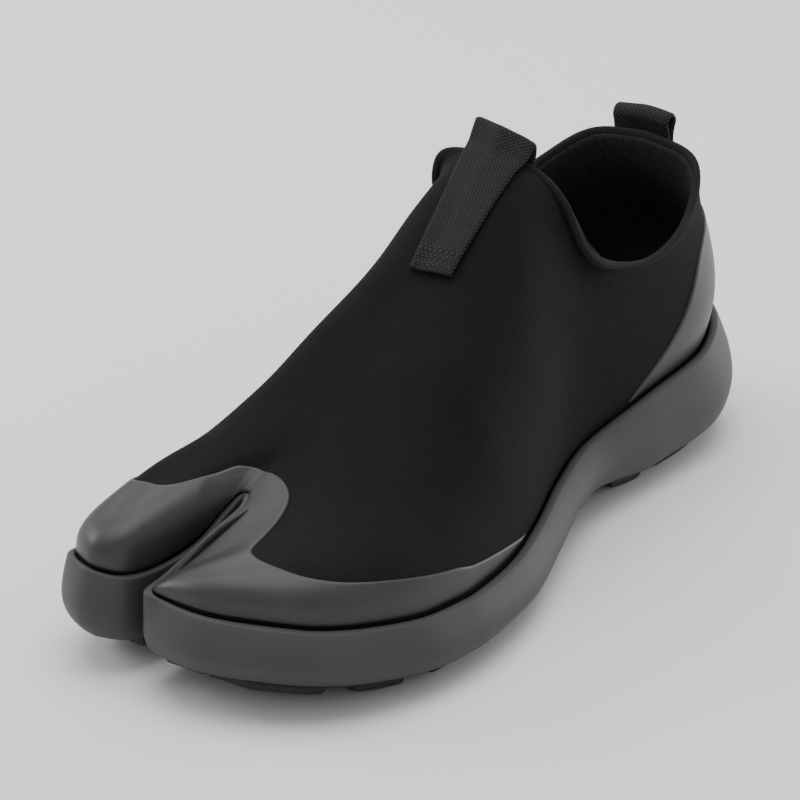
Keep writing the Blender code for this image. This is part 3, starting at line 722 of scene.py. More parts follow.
class Skin:
    """The upper's outer surface as a fine, smoothed grid of ribs."""

    def __init__(self, rows, columns):
        self.rows = rows
        self.shares = np.linspace(0, 1, columns)
        grid = upper_points(rows, self.shares)
        quads = grid_quads(len(grid), columns, True)
        self.first, self.index, self.quads = weld(grid.reshape(-1, 3), quads)
        points = grid.reshape(-1, 3)[self.first]
        column = np.tile(np.arange(columns), len(grid))[self.first]
        on_collar = (column == columns - 1) & (np.repeat(rows.p, columns)[self.first] < THROAT_PLACE)
        in_slot = np.repeat(ramp(*HELD_LIPS, rows.lip), columns)[self.first]
        in_slot = in_slot * ramp(0.9, 0.6, column / columns)
        free = np.where((column == 0) | on_collar, 0.0, PULL * (1 - in_slot))
        fork = ramp(150, 180, points[:, 0]) * ramp(228, 205, points[:, 0]) * ramp(30, 42, points[:, 2])
        points = smoothed(points, self.quads, free * fork, FORK_ROUNDS)
        ridge = ramp(0.6, 0.85, column / columns) * ramp(205, 225, points[:, 0])
        toes = np.maximum(ridge, TIP_PULL * ramp(236, 250, points[:, 0]))
        points = smoothed(points, self.quads, free * toes, RIDGE_ROUNDS)
        self.points = smoothed(points, self.quads, free, SKIN_ROUNDS)
        self.normals = point_normals(self.points, self.quads)
        self.grid = self.points[self.index].reshape(grid.shape)
        steps = np.linalg.norm(np.diff(self.grid, axis=1), axis=2)
        self.run = np.concatenate([np.zeros((len(grid), 1)), np.cumsum(steps, axis=1)], axis=1)

    def mark(self, name):
        """Number of the rib at a station."""
        return STATION_NAMES.index(name) * FINE_STEPS

    def of_points(self, values):
        """Values of the welded points, from values given rib by rib."""
        return values.reshape(len(self.index), -1)[self.first]

    def up_to(self, shares):
        """How far up each rib a share of it lies, running on past the ridge for more than 1."""
        found = [np.interp(share, self.shares, run) for share, run in zip(shares, self.run)]
        beyond = np.clip(shares - 1, 0, None) + np.clip(shares, None, 0)
        return np.array(found) + beyond * self.run[:, -1]

    def knit_places(self):
        """Distance along the foot from the throat, and down from the top, of all points."""
        number = np.arange(len(self.grid))
        on_four = number < self.mark("crotch")
        tip = np.where(on_four, self.mark("four_tip"), self.mark("big_tip"))
        onward = np.where(number <= tip, 1.0, -1.0)
        spine = spine_at(self.rows.p, self.rows.lobe)
        top = np.where((self.rows.p < THROAT_PLACE)[:, None], self.grid[:, -1], spine)
        along = []
        for line in (self.grid[:, len(self.shares) // 2], top):
            step = np.linalg.norm(line - np.roll(line, 1, axis=0), axis=1) * onward
            run = np.cumsum(step)
            outer = run - run[self.mark("arch")]
            inner = run - run[self.mark("arch_inner")]
            inner *= np.where(inner < 0, outer[0] / (inner[-1] + step[-1]), 1.0)
            along.append(np.where(on_four, outer, inner))
        share = self.shares[None, :]
        places = along[0][:, None] * (1 - share) + along[1][:, None] * share
        down = self.run[:, -1:] - self.run
        return self.of_points(np.stack([places, down, np.zeros_like(places)], axis=2))


def soft_folds(points):
    """Height of the shallow folds and swells that worn-in knit shows, in millimetres."""
    x, y, z = points.T
    at_flex = np.exp(-(((x - FLEX_FOLD.x) / FLEX_FOLD.reach) ** 2)) * ramp(30, 60, z)
    flex = np.sin((x * 0.9 + z * 0.5 + np.abs(y) * 0.25) / FLEX_FOLD.pitch) * at_flex
    at_ankle = np.exp(-(((x - ANKLE_FOLD.x) / ANKLE_FOLD.reach) ** 2))
    at_ankle = at_ankle * ramp(45, 70, z) * ramp(112, 96, z)
    ankle = np.sin((x * 0.8 - z * 0.7) / ANKLE_FOLD.pitch) * at_ankle
    return FLEX_FOLD.depth * flex + ANKLE_FOLD.depth * ankle


def knit_upper(skin, material):
    """Outer knit layer, with a skirt down inside the sole's lip."""
    raised = skin.points + skin.normals * soft_folds(skin.points)[:, None]
    rows = skin.rows
    hem = rows.inset(rows.lip)
    skirt = np.column_stack([hem, levels_at(hem[:, 0])[2] + GAP])
    columns = len(skin.shares) + 1
    grid = raised[skin.index].reshape(len(rows.x), -1, 3)
    grid = np.concatenate([skirt[:, None, :], grid], axis=1)
    places = skin.knit_places()[skin.index].reshape(len(rows.x), -1, 3)
    lowest = places[:, :1].copy()
    lowest[:, 0, 1] *= 1.05
    places = np.concatenate([lowest, places], axis=1)
    first, _, quads = weld(grid.reshape(-1, 3), grid_quads(len(grid), columns, True))
    outer = grid.reshape(-1, 3)[first]
    normals = point_normals(outer, quads)
    points, faces = shell(outer - normals * KNIT_WALL, outer, halves(quads))
    layer = np.tile(places.reshape(-1, 3)[first], (2, 1))
    return add_piece("knit_upper", points, faces, material, ["upper"], {"knit_mm": layer})


def lining(skin, material):
    """Thin lining just inside the knit."""
    thin = skin.grid[::2, ::2]
    quads = grid_quads(len(thin), thin.shape[1], True)
    first, _, quads = weld(thin.reshape(-1, 3), quads)
    outer = thin.reshape(-1, 3)[first]
    normals = point_normals(outer, quads)
    inside = outer - normals * (LINING_WALL + LINING_DEEP)
    points, faces = shell(inside, outer - normals * (KNIT_WALL + LINING_CLEAR), quads)
    return add_piece("lining", points, faces, material)


def eased(points, rounds):
    """Points of a closed line, each drawn towards its neighbours again and again."""
    for _ in range(rounds):
        points = points * 0.5 + (np.roll(points, 1, axis=0) + np.roll(points, -1, axis=0)) * 0.25
    return points


def evenly(line, count):
    """A closed line of points, spaced evenly and with its corners eased."""
    closed = np.vstack([line, line[:1]])
    run = run_length(closed[:, :3])
    at = np.linspace(0, run[-1], count, endpoint=False)
    points = np.column_stack([np.interp(at, run, column) for column in closed.T])
    return eased(points, LINE_ROUNDS)


def collar_rim(skin, material):
    """Folded knit edge that rolls over the collar."""
    count = len(skin.grid)
    ribs = np.arange(skin.mark("arch_inner"), count + skin.mark("arch")) % count
    normals = skin.normals[skin.index].reshape(skin.grid.shape)
    both = evenly(np.hstack([skin.grid[ribs, -1], normals[ribs, -1]]), RIM_POINTS)
    line = both[:, :3]
    facing = eased(both[:, 3:], RIM_ROUNDS)
    along = np.roll(line, -1, axis=0) - np.roll(line, 1, axis=0)
    along /= np.linalg.norm(along, axis=1)[:, None]
    outward = facing - along * np.sum(facing * along, axis=1)[:, None]
    outward /= np.linalg.norm(outward, axis=1)[:, None]
    up = np.cross(outward, along)
    up *= np.sign(up[:, 2].sum())
    middle = line - outward * (RIM_HALF_WIDTH - RIM_PROUD) - up * RIM_DROP
    turns = np.linspace(0, 2 * np.pi, RIM_TURNS, endpoint=False)
    ring = []
    for turn in turns:
        wide = np.sign(np.cos(turn)) * abs(np.cos(turn)) ** 0.75 * RIM_HALF_WIDTH
        ring.append(middle + outward * wide + up * np.sin(turn) * RIM_HALF_HEIGHT)
    grid = np.stack(ring, axis=1)
    quads = grid_quads(len(grid), RIM_TURNS + 1, True)
    quads = quads // (RIM_TURNS + 1) * RIM_TURNS + quads % (RIM_TURNS + 1) % RIM_TURNS
    points = grid.reshape(-1, 3)
    layer = np.zeros(grid.shape)
    layer[..., 0] = run_length(line)[:, None]
    layer[..., 1] = (np.abs(turns - np.pi) * RIM_HALF_WIDTH)[None, :]
    swelling = np.sum(point_normals(points, quads) * (points - np.repeat(middle, RIM_TURNS, axis=0)))
    if swelling < 0:
        quads = quads[:, ::-1]
    layers = {"knit_mm": layer.reshape(-1, 3)}
    return add_piece("collar_rim", points, polygons(quads), material, (), layers)


def rounded_in(values, count):
    """Values along the ribs with their corners rounded over this many ribs."""
    kernel = np.hanning(count + 2)[1:-1]
    kernel /= kernel.sum()
    looped = np.concatenate([values[-count:], values, values[:count]])
    return np.convolve(looped, kernel, mode="same")[count:-count]


def toe_film_depth(skin):
    """Distance in from the toe film's edge, for all points of the skin.

    The film reaches its own distance from every point of the sole's edge. Where the reach from
    the outer side, the slot and the inner side meet, the corner between them is rounded, and
    the edge is eased over the toes.
    """
    reach = rounded_in(skin.rows.film, TOE_FILM_RIBS)
    ends = [0, skin.mark("four_tip"), skin.mark("big_tip"), len(reach)]
    total = np.zeros(len(skin.points))
    for first, last in zip(ends[:-1], ends[1:]):
        depth = np.full(len(skin.points), FILM_FAR)
        for foot, far in zip(skin.grid[first:last, 0], reach[first:last]):
            depth = np.maximum(depth, far - np.linalg.norm(skin.points - foot, axis=1))
        total += np.exp(depth / FILM_CORNER)
    at_toes = PULL * ramp(215, 235, skin.points[:, 0])
    joined = FILM_CORNER * np.log(total)
    return smoothed(joined[:, None], skin.quads, at_toes, FILM_ROUNDS)[:, 0]


def heel_film_depth(skin):
    """Distance in from the heel film's edge, for all points of the skin."""
    edge = skin.up_to(rounded_in(skin.rows.counter, HEEL_FILM_RIBS))
    return skin.of_points(np.clip(edge[:, None] - skin.run, -FILM_REACH, FILM_REACH))[:, 0]


def split_at(data, triangles, level):
    """Points and triangles, with every triangle cut where the points' first column passes a level."""
    apart = data[:, 0] - level
    data[:, 0] = np.where(np.abs(apart) < 0.02, level + np.where(apart < 0, -0.02, 0.02), data[:, 0])
    rows = list(data)
    cuts = {}
    done = []
    for triangle in triangles:
        above = [rows[corner][0] > level for corner in triangle]
        if sum(above) in (0, 3):
            done.append(triangle)
            continue
        alone = above.index(sum(above) == 1)
        a, b, c = (triangle[(alone + k) % 3] for k in range(3))
        found = []
        for other in (b, c):
            key = (min(a, other), max(a, other))
            if key not in cuts:
                low, high = rows[key[0]], rows[key[1]]
                cuts[key] = len(rows)
                rows.append(low + (high - low) * (level - low[0]) / (high[0] - low[0]))
            found.append(cuts[key])
        done += [(a, found[0], found[1]), (found[0], b, c), (found[0], c, found[1])]
    return np.array(rows), done


def film(skin, name, field, node, material):
    """Satin film over the part of the skin where a field is positive, with a rounded edge."""
    run = skin.of_points(skin.run)
    data = np.hstack([field[:, None], run, skin.points, skin.normals])
    corners = halves(skin.quads)
    triangles = [tuple(face) for face in polygons(corners[field[corners].max(axis=1) > 0])]
    for level in FILM_LEVELS:
        data, triangles = split_at(data, triangles, level * FILM_EDGE)
    data[:, 0] = np.where(np.abs(data[:, 0]) < 0.001, 0.0, data[:, 0])
    kept = np.array([face for face in triangles if data[list(face), 0].min() >= 0])
    used, kept = np.unique(kept, return_inverse=True)
    depth, run = data[used, 0], data[used, 1]
    points, normals = data[used, 2:5], data[used, 5:]
    edge = 1 - np.clip(depth / FILM_EDGE, 0, 1)
    foot = 1 - np.clip(run / FILM_FOOT, 0, 1)
    thick = FILM_THICK * np.sqrt(1 - edge**2) * np.sqrt(1 - FILM_FOOT_SUNK * foot**2)
    above = points + normals * (FILM_LIFT + thick)[:, None]
    points, faces = shell(points + normals * (FILM_LIFT / 2), above, kept.reshape(-1, 3))
    return add_piece(name, points, faces, material, [node])


def toe_film(skin, material):
    """Film over both toe tips, round the slot, and back along both sides to a point."""
    return film(skin, "toe_film", toe_film_depth(skin), "toe_overlay", material)


def heel_film(skin, material):
    """Film wedge round the heel, with slanting front edges."""
    behind = skin.points[:, 0] < HEEL_FILM_END
    return film(skin, "heel_film", np.where(behind, heel_film_depth(skin), -1.0), "heel_overlay", material)


def side_profile(count):
    """The sole's side as shares of its height and insets, spaced more closely towards the lip."""
    side = np.array(SIDE)
    run = run_length(np.column_stack([side[:, 0] * USUAL_SIDE, side[:, 1]]))
    along = 1 - (1 - np.linspace(0, 1, count)) ** 1.4
    return curve_through(run, side, run[-1] * along)


def foam_sole(rows, material):
    """Foam sole: underside, bulging side, rounded lip, and dished bed.

    In the slot the lip keeps a broad top and a tight round edge.
    """
    scale = rows.lip / FULL_LIP
    in_slot = ramp(*SLOT_LIPS, rows.lip)
    rim = rows.rim + SLOT_LIP_RISE * rounded_in(in_slot * (rows.lobe == 0), SLOT_LIP_RIBS)
    lower_edge = rows.inset(SIDE[0][1] * scale)
    middle = spine_at(rows.p, rows.lobe)[:, :2]
    columns = []
    for share in (1.0, 0.66, 0.33, 0.1):
        plan = lower_edge + (middle - lower_edge) * share
        columns.append(np.column_stack([plan, levels_at(plan[:, 0])[0]]))
    for share, inset in side_profile(SIDE_ROWS):
        tall = rim - levels_at(rows.x)[0]
        near_top = np.clip((1 - share) * tall / SLOT_ROUND, 0, 1)
        tight = SLOT_ROUND * (1.1 - np.sqrt(1 - (1 - near_top) ** 2))
        squared = in_slot * ramp(0.4, 0.7, share)
        plan = rows.inset(inset * scale * (1 - squared) + tight * squared)
        under = levels_at(plan[:, 0])[0]
        columns.append(np.column_stack([plan, under + (rim - under) * share]))
    start = SIDE[-1][1] * scale * (1 - in_slot) + SLOT_ROUND * 1.1 * in_slot
    for part, drop in LIP_TOP:
        plan = rows.inset(start + (rows.lip - GAP - start) * part)
        flat = 1 - in_slot * ramp(1.0, 0.8, part)
        columns.append(np.column_stack([plan, rim - drop * flat]))
    bed = bed_points(rows, [0.0, 0.1, 0.3, 0.6, 1.0])
    grid = np.concatenate([np.stack(columns, axis=1), bed], axis=1)
    first, _, quads = weld(grid.reshape(-1, 3), grid_quads(len(grid), grid.shape[1], True))
    points = grid.reshape(-1, 3)[first]
    return add_piece("foam_sole", points, polygons(quads), material, ["midsole"])


def sock_liner(rows, material):
    """Insole on the bed, split at the toes, with a softened edge."""
    edge = rows.inset(rows.lip - GAP)
    middle = spine_at(rows.p, rows.lobe)[:, :2]
    start = (LINING_WALL + 5 * GAP) / np.sum((middle - edge) * rows.inward, axis=1)
    start = np.clip(start, 0, MOST_INSOLE_START)
    steps = np.array([0.0, 0.015, 0.04, 0.1, 0.2, 0.35, 0.55, 0.78, 1.0])
    shares = start[:, None] + (1 - start)[:, None] * steps[None, :]
    grid = bed_points(rows, shares)
    thick = INSOLE_THICK * np.array([0.55, 0.82, 0.97, 1, 1, 1, 1, 1, 1])
    top = grid + np.array([0, 0, INSOLE_GAP]) + thick[None, :, None] * np.array([0, 0, 1.0])
    first, _, quads = weld(grid.reshape(-1, 3), grid_quads(len(grid), grid.shape[1], True))
    below = grid.reshape(-1, 3)[first] + (0, 0, INSOLE_GAP)
    points, faces = shell(below, top.reshape(-1, 3)[first], quads)
    return add_piece("sock_liner", points, faces, material, ["insole"])


def edge_chain(rows, side):
    """x and y of one run of the sole's lower edge, with x rising."""
    edge = rows.inset(SIDE[0][1] * rows.lip / FULL_LIP + PAD_INSET)
    ends = {
        "outer": ("heel_back", "four_tip"),
        "slot_four": ("four_corner", "crotch"),
        "slot_big": ("crotch", "big_corner"),
        "inner": ("big_tip", "heel_corner_inner"),
    }[side]
    steps = len(rows.x) // len(STATIONS)
    first, last = (STATION_NAMES.index(name) * steps for name in ends)
    run = edge[first : last + 1]
    return run[np.argsort(run[:, 0])]


def tread_depth(x, y, bars, from_side):
    """Depth of the rubber under the sole: bars with softened edges and zigzag grooves."""
    depth = np.full_like(x, PAD_BASE)
    for start, end in bars:
        near = np.minimum(x - start, end - x)
        bar = np.sqrt(np.clip(1 - (1 - np.clip(near / BAR_ROUND, 0, 1)) ** 2, 0, 1))
        depth = np.where(near >= 0, PAD_BASE + (PAD_DEPTH - PAD_BASE) * bar, depth)
    zig = np.abs((y / ZIG_WIDTH) % 2 - 1) * ZIG_DEPTH
    groove = np.clip(1 - np.abs((x + zig) % GROOVE_PITCH - GROOVE_PITCH / 2) / GROOVE_HALF, 0, 1)
    inside = np.clip((from_side - 5) / 2, 0, 1)
    return depth - groove * GROOVE_DEPTH * inside * (depth > PAD_BASE + 0.5)


def rubber_pad(rows, pad, material):
    """Rubber pad with lug bars and a zigzag tread, following the underside of the sole."""
    side_a = edge_chain(rows, pad.side_a)
    side_b = edge_chain(rows, pad.side_b)
    start = pad.bars[0][0]
    end = pad.bars[-1][1]
    stops = [np.linspace(start, end, int((end - start) / TREAD_STEP))]
    for first, last in pad.bars:
        stops.append(np.array([first + 0.01, first + 0.3, last - 0.3, last - 0.01]))
    xs = np.unique(np.concatenate(stops))
    shares = np.concatenate([[0, 0.004, 0.012], np.linspace(0.03, 0.97, 70), [0.988, 0.996, 1]])
    y_a = np.interp(xs, side_a[:, 0], side_a[:, 1])
    y_b = np.interp(xs, side_b[:, 0], side_b[:, 1])
    y = y_b[:, None] + (y_a - y_b)[:, None] * shares[None, :]
    x = np.broadcast_to(xs[:, None], y.shape)
    top = np.broadcast_to((levels_at(xs)[0] - GAP)[:, None], y.shape)
    from_side = np.minimum(y - y_b[:, None], y_a[:, None] - y)
    depth = tread_depth(x, y, pad.bars, from_side)
    depth = depth - PAD_EDGE * np.clip(1 - from_side / PAD_EDGE, 0, 1) ** 2
    tops = np.stack([x, y, top], axis=2).reshape(-1, 3)
    bottoms = np.stack([x, y, top - depth], axis=2).reshape(-1, 3)
    quads = grid_quads(len(xs), len(shares), False)[:, ::-1]
    points, faces = shell(bottoms, tops, quads)
    return add_piece(f"tread_{pad.name}", points, faces, material, [pad.name])


def ribs_at(p, lobe, rows):
    """Ribs read between the given ones, at these places on the spine behind the fork."""
    p = np.asarray(p, float)
    steps = len(rows.x) // len(STATIONS)
    if lobe == 0:
        side = np.arange(0, STATION_NAMES.index("ball") * steps + 1)
    else:
        side = np.append(np.arange(STATION_NAMES.index("ball_inner") * steps, len(rows.x)), 0)
    side = side[np.argsort(rows.p[side])]
    columns = [rows.x, rows.y, rows.rim, rows.lip, rows.full, rows.film, rows.counter, rows.p, rows.sag]
    table = np.column_stack([np.interp(p, rows.p[side], column[side]) for column in columns])
    inward = np.column_stack([np.interp(p, rows.p[side], rows.inward[side, k]) for k in (0, 1)])
    return Rows(table, np.full(len(p), lobe), inward)


def across_spine(p, offsets, rows):
    """Points of the upper on one rib pair, at these distances from the spine."""
    fine = np.linspace(1.0, 0.3, 120)
    points = []
    for offset in offsets:
        lobe = 0 if offset >= 0 else 1
        rib = upper_points(ribs_at([p], lobe, rows), fine)[0]
        points.append([np.interp(abs(offset), run_length(rib), rib[:, axis]) for axis in range(3)])
    return np.array(points)


def collar_edge_at(offsets):
    """Points of the collar's front edge at these distances from its middle."""
    p = np.linspace(1.0, 0.8, 60)
    points = []
    for offset in offsets:
        side = collar_at(p, np.full(len(p), 0 if offset >= 0 else 1))
        points.append([np.interp(abs(offset), np.abs(side[:, 1]), side[:, axis]) for axis in range(3)])
    return np.array(points)


def loop_rows(outer, edge, normals, inner, rise):
    """Rows of a webbing loop: up the outside, over the collar's edge and down the inside."""
    up = edge - outer[-1]
    up /= np.linalg.norm(up, axis=1)[:, None]
    up = up * LOOP_LEAN + np.array([0, 0, 1.0])
    up /= np.linalg.norm(up, axis=1)[:, None]
    far = WEBBING_GAP + WEBBING_THICK / 2
    near = -(COLLAR_WALL + far)
    middle = (far + near) / 2
    radius = (far - near) / 2
    rows = list(outer)
    for height in (0.0, 0.5):
        rows.append(edge + normals * far + up * (rise - radius) * height)
    for turn in np.radians((0, 36, 72, 108, 144, 180)):
        sideways = middle + radius * np.cos(turn)
        rows.append(edge + normals * sideways + up * (rise - radius + radius * np.sin(turn)))
    for height in (0.5, 0.0):
        rows.append(edge + normals * near + up * (rise - radius) * height)
    return np.array(rows + list(inner))


def front_rows(rows):
    """Coarse rows of the front loop: from the instep up over the throat and down inside it."""
    offsets = np.linspace(-WEBBING_WIDTH / 2, WEBBING_WIDTH / 2, 7)
    places = np.linspace(1.5, 1.0, 41)
    paths = []
    for p in places:
        drawn = 1 - FRONT_LOOP_DRAWN * ramp(1.0, 1.4, p)
        paths.append(across_spine(p, offsets * drawn + FRONT_LOOP_SKEW * (p - 1) * 2, rows))
    paths = np.array(paths)
    middle = paths[:, len(offsets) // 2]
    uphill = middle[-1] - middle[0]
    climb = paths @ (uphill / np.linalg.norm(uphill))
    stops = climb[-1, len(offsets) // 2] - np.array(FRONT_LOOP_STOPS)
    sheet = np.zeros((len(stops), len(offsets), 3))
    for column in range(len(offsets)):
        for axis in range(3):
            sheet[:, column, axis] = np.interp(stops, climb[:, column], paths[:, column, axis])
    quads = grid_quads(len(stops), len(offsets), False)
    normals = point_normals(sheet.reshape(-1, 3), quads).reshape(sheet.shape)
    normals *= np.sign(normals[..., 2].sum())
    lift = WEBBING_GAP + WEBBING_THICK / 2
    inner = sheet - normals * (COLLAR_WALL + lift + GAP)
    edge = collar_edge_at(offsets)
    path = loop_rows(sheet + normals * lift, edge, normals[-1], inner[-2:-4:-1], FRONT_LOOP_RISE)
    straight = slice(1, len(stops) + 4)
    share = run_length(path[straight, len(offsets) // 2])[:, None, None]
    share = share / share[-1]
    chord = path[1] + (path[len(stops) + 3] - path[1]) * share
    path[straight] += (chord - path[straight]) * FRONT_LOOP_TAUT
    twist = ramp(len(stops) - 4, len(stops) + 3, np.arange(len(path)))
    path[..., 2] -= twist[:, None] * offsets[None, :] * FRONT_LOOP_TWIST
    return path


def heel_rows(rows):
    """Coarse rows of the heel loop: it stands up behind the collar, with both legs on the heel."""
    offsets = np.linspace(-WEBBING_WIDTH / 2, WEBBING_WIDTH / 2, 5) + HEEL_LOOP_ASIDE
    columns = []
    for offset in offsets:
        lobe = 0 if offset >= 0 else 1
        p = np.linspace(0.0, 0.2, 60)
        side = collar_at(p, np.full(len(p), lobe))
        place = np.interp(abs(offset), np.abs(side[:, 1]), p)
        columns.append(upper_points(ribs_at([place], lobe, rows), HEEL_LOOP_SHARES)[0])
    sheet = np.stack(columns, axis=1)
    quads = grid_quads(len(HEEL_LOOP_SHARES), len(offsets), False)
    normals = point_normals(sheet.reshape(-1, 3), quads).reshape(sheet.shape)
    normals *= -np.sign(normals[..., 0].sum())
    near = WEBBING_GAP + WEBBING_THICK / 2
    far = near + WEBBING_THICK + LEG_GAP
    middle = (near + far) / 2
    path = list(sheet + normals * far)
    for turn in np.radians((-40, 0, 45, 90, 135, 180, 220)):
        height = HEEL_LOOP_RISE - HEEL_LOOP_ROLL * (1 - np.sin(turn))
        outward = normals[-1] * (middle + HEEL_LOOP_ROLL * np.cos(turn))
        path.append(sheet[-1] + outward + np.array([0, 0, height]))
    path += list((sheet + normals * near)[::-1])
    return np.array(path)


class Strip:
    """Fine mid surface of a webbing strip, with its normals and distances along and across."""

    def __init__(self, coarse, columns=STRIP_COLUMNS):
        centre = coarse[:, coarse.shape[1] // 2]
        run = run_length(centre)
        self.along = np.linspace(0, run[-1], int(run[-1] / WEBBING_STEP))
        lengthwise = curve_through(run, coarse.reshape(len(coarse), -1), self.along)
        lengthwise = lengthwise.reshape(len(self.along), coarse.shape[1], 3)
        knots = np.linspace(-WEBBING_WIDTH / 2, WEBBING_WIDTH / 2, coarse.shape[1])
        self.across = np.linspace(-WEBBING_WIDTH / 2, WEBBING_WIDTH / 2, columns)
        turned = lengthwise.transpose(1, 0, 2).reshape(coarse.shape[1], -1)
        fine = curve_through(knots, turned, self.across)
        self.grid = fine.reshape(columns, len(self.along), 3).transpose(1, 0, 2)
        self.quads = grid_quads(len(self.along), columns, False)
        normals = point_normals(self.grid.reshape(-1, 3), self.quads)
        self.normals = normals.reshape(self.grid.shape)

    def face(self, along, across, lift):
        """Point and normal on the strip's outer face."""
        i = np.interp(along, self.along, np.arange(len(self.along)))
        j = np.interp(across, self.across, np.arange(len(self.across)))
        i, j = int(round(float(i))), int(round(float(j)))
        return self.grid[i, j] + self.normals[i, j] * lift, self.normals[i, j]


def webbing(strip, name, node, material):
    """Closed strip of webbing with rounded selvedges."""
    near = WEBBING_WIDTH / 2 - np.abs(strip.across)
    full = np.sqrt(1 - (1 - np.clip(near / SELVEDGE, 0, 1)) ** 2)
    half = WEBBING_THICK / 2 * (SELVEDGE_THIN + (1 - SELVEDGE_THIN) * full)
    offset = strip.normals * half[None, :, None]
    below = (strip.grid - offset).reshape(-1, 3)
    above = (strip.grid + offset).reshape(-1, 3)
    points, faces = shell(below, above, strip.quads)
    layer = np.zeros((*strip.grid.shape[:2], 3))
    layer[..., 0] = strip.across[None, :] + WEBBING_WIDTH
    layer[..., 1] = strip.along[:, None]
    layer = np.tile(layer.reshape(-1, 3), (2, 1))
    return add_piece(name, points, faces, material, [node], {"weave_mm": layer})


def stitch(start, end, normal):
    """Points and faces of one plump stitch between two points on a face."""
    along = end - start
    length = np.linalg.norm(along)
    along = along / length
    side = np.cross(normal, along)
    side /= np.linalg.norm(side)
    lift = np.cross(along, side)
    points = [start - lift * STITCH_RADIUS]
    for place in STITCH_RINGS:
        fat = STITCH_RADIUS * np.sqrt(1 - (2 * place - 1) ** 2) ** 0.5
        centre = start + along * length * place
        for turn in np.linspace(0, 2 * np.pi, STITCH_SIDES, endpoint=False):
            points.append(centre + side * np.cos(turn) * fat + lift * np.sin(turn) * fat)
    points.append(end - lift * STITCH_RADIUS)
    faces = []
    last = 1 + (len(STITCH_RINGS) - 1) * STITCH_SIDES
    for k in range(STITCH_SIDES):
        following = (k + 1) % STITCH_SIDES
        faces.append([0, 1 + following, 1 + k])
        for a in range(1, last, STITCH_SIDES):
            b = a + STITCH_SIDES
            faces.append([a + k, a + following, b + following, b + k])
        faces.append([last + k, last + following, last + STITCH_SIDES])
    return np.array(points), faces


def sewing(name, strip, seams, material):
    """Stitches on a strip along the straight runs of its zigzag seams."""
    points = []
    faces = []
    count = 0
    lift = WEBBING_THICK / 2 + STITCH_RADIUS * 0.35
    runs = [run for seam in seams for run in zigzag(*seam)]
    for (along_a, across_a), (along_b, across_b) in runs:
        length = np.hypot(along_b - along_a, across_b - across_a)
        number = max(1, int(round(length / STITCH_PITCH)))
        for k in range(number):
            ends = []
            for share in ((k + STITCH_GAP) / number, (k + 1 - STITCH_GAP) / number):
                along = along_a + (along_b - along_a) * share
                across = across_a + (across_b - across_a) * share
                ends.append(strip.face(along, across, lift))
            some, corners = stitch(ends[0][0], ends[1][0], ends[0][1])
            points.append(some)
            faces += [[corner + count for corner in face] for face in corners]
            count += len(some)
    return add_piece(name, np.vstack(points), faces, material)


def zigzag(along, depth, half_width, count):
    """Straight runs of a zigzag line across a strip, each from one (along, across) place to the next."""
    places = np.linspace(-half_width, half_width, count)
    corners = [(along + depth * (k % 2), across) for k, across in enumerate(places)]
    return list(zip(corners[:-1], corners[1:]))


def shoe_view():
    """Camera place and the direction it looks along, in metres from the shoe's origin."""
    azimuth = np.radians(CAMERA_AZIMUTH)
    elevation = np.radians(CAMERA_ELEVATION)
    level = np.cos(elevation)
    back = np.array([np.sin(azimuth) * level, -np.cos(azimuth) * level, np.sin(elevation)])
    right = np.array([np.cos(azimuth), np.sin(azimuth), 0.0])
    up = np.cross(back, right)
    aside = (LOOK_PIXEL[0] - FRAME_PIXELS / 2) / CAMERA_PIXELS
    above = (FRAME_PIXELS / 2 - LOOK_PIXEL[1]) / CAMERA_PIXELS
    return (np.array(CAMERA_PLACE) - ORIGIN) * MM, -back + right * aside + up * above


def add_camera():
    """Camera at the photograph's angle, framed on the shoe."""
    place, look = shoe_view()
    data = bpy.data.cameras.new("camera")
    data.lens = LENS
    data.sensor_width = SENSOR
    camera = bpy.data.objects.new("camera", data)
    camera.location = place
    camera.rotation_euler = Vector(look).to_track_quat("-Z", "Y").to_euler()
    bpy.context.scene.collection.objects.link(camera)
    bpy.context.scene.camera = camera


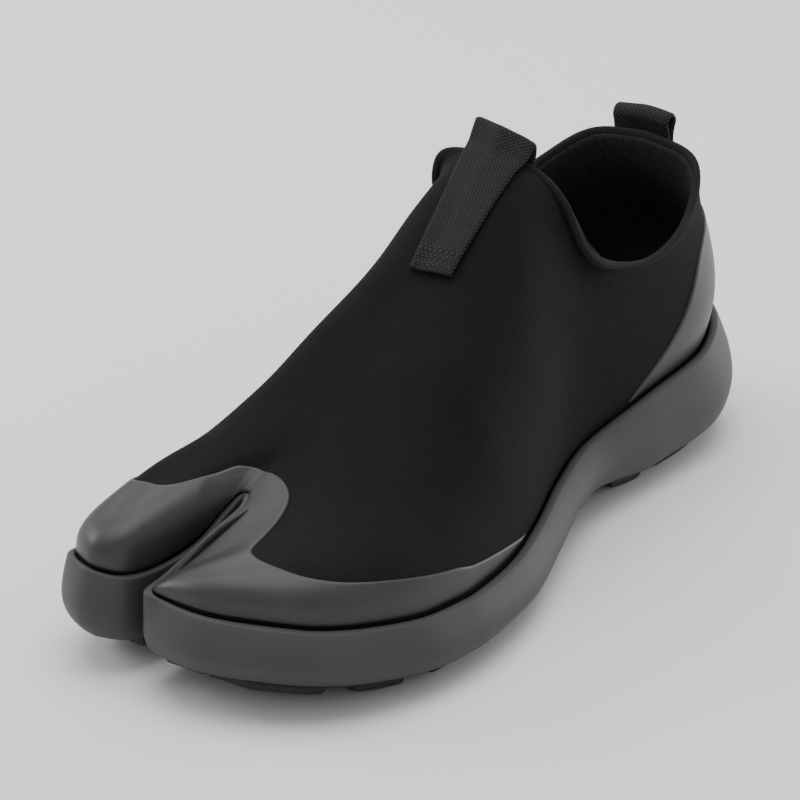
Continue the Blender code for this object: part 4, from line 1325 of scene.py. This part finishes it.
def add_softbox(box):
    """Soft oblong light aimed at its target."""
    data = bpy.data.lights.new(box.name, "AREA")
    data.shape = "RECTANGLE"
    data.size, data.size_y = box.size
    data.energy = box.power
    light = bpy.data.objects.new(box.name, data)
    light.location = box.place
    aim = Vector(box.target) - Vector(box.place)
    light.rotation_euler = aim.to_track_quat("-Z", "Y").to_euler()
    bpy.context.scene.collection.objects.link(light)


def add_stage():
    """Pale floor, an even pale surround and soft studio lights."""
    mesh = bpy.data.meshes.new("floor")
    far = FLOOR_HALF
    mesh.from_pydata([(-far, -far, 0), (far, -far, 0), (far, far, 0), (-far, far, 0)], [], [(0, 1, 2, 3)])
    floor = bpy.data.objects.new("floor", mesh)
    bpy.context.scene.collection.objects.link(floor)
    shade = Shade("pale_floor")
    shade.set(Base_Color=FLOOR_TONE, Roughness=0.8, Specular_IOR_Level=0.2)
    mesh.materials.append(shade.material)
    world = bpy.data.worlds.new("surround")
    bpy.context.scene.world = world
    world.use_nodes = True
    surround = world.node_tree.nodes["Background"]
    surround.inputs["Color"].default_value = SURROUND_TONE
    surround.inputs["Strength"].default_value = SURROUND
    for box in SOFTBOXES:
        add_softbox(box)


def build():
    """Dress every solid, then set the stage and the camera."""
    rows = outline(FINE_STEPS)
    skin = Skin(rows, RIB_ROWS)
    coarse = outline(CAD_STEPS)
    knit = knit_material("black_knit", KNIT_TONE, *KNIT_STITCH)
    # Rim knit lighter than the upper's knit: a painted highlight on the rolled collar edge
    rim_knit_painted_highlight = knit_material("rim_knit_painted_highlight", RIM_TONE_WITH_PAINTED_HIGHLIGHT, *RIM_STITCH)
    film_look = film_material()
    knit_upper(skin, knit)
    lining(skin, lining_material("black_lining", LINING_TONE))
    collar_rim(skin, rim_knit_painted_highlight)
    toe_film(skin, film_look)
    heel_film(skin, film_look)
    foam_sole(rows, foam_material())
    sock_liner(coarse, lining_material("black_liner", LINER_TONE))
    rubber = rubber_material()
    for pad in PADS:
        rubber_pad(rows, pad, rubber)
    web = webbing_material()
    thread = thread_material()
    front = Strip(front_rows(coarse))
    webbing(front, "front_webbing", "front_pull_loop", web)
    heel = Strip(heel_rows(coarse))
    webbing(heel, "heel_webbing", "heel_pull_loop", web)
    sewing("front_sewing", front, FRONT_SEAMS, thread)
    sewing("heel_sewing", heel, HEEL_SEAMS, thread)
    add_stage()
    add_camera()


build()
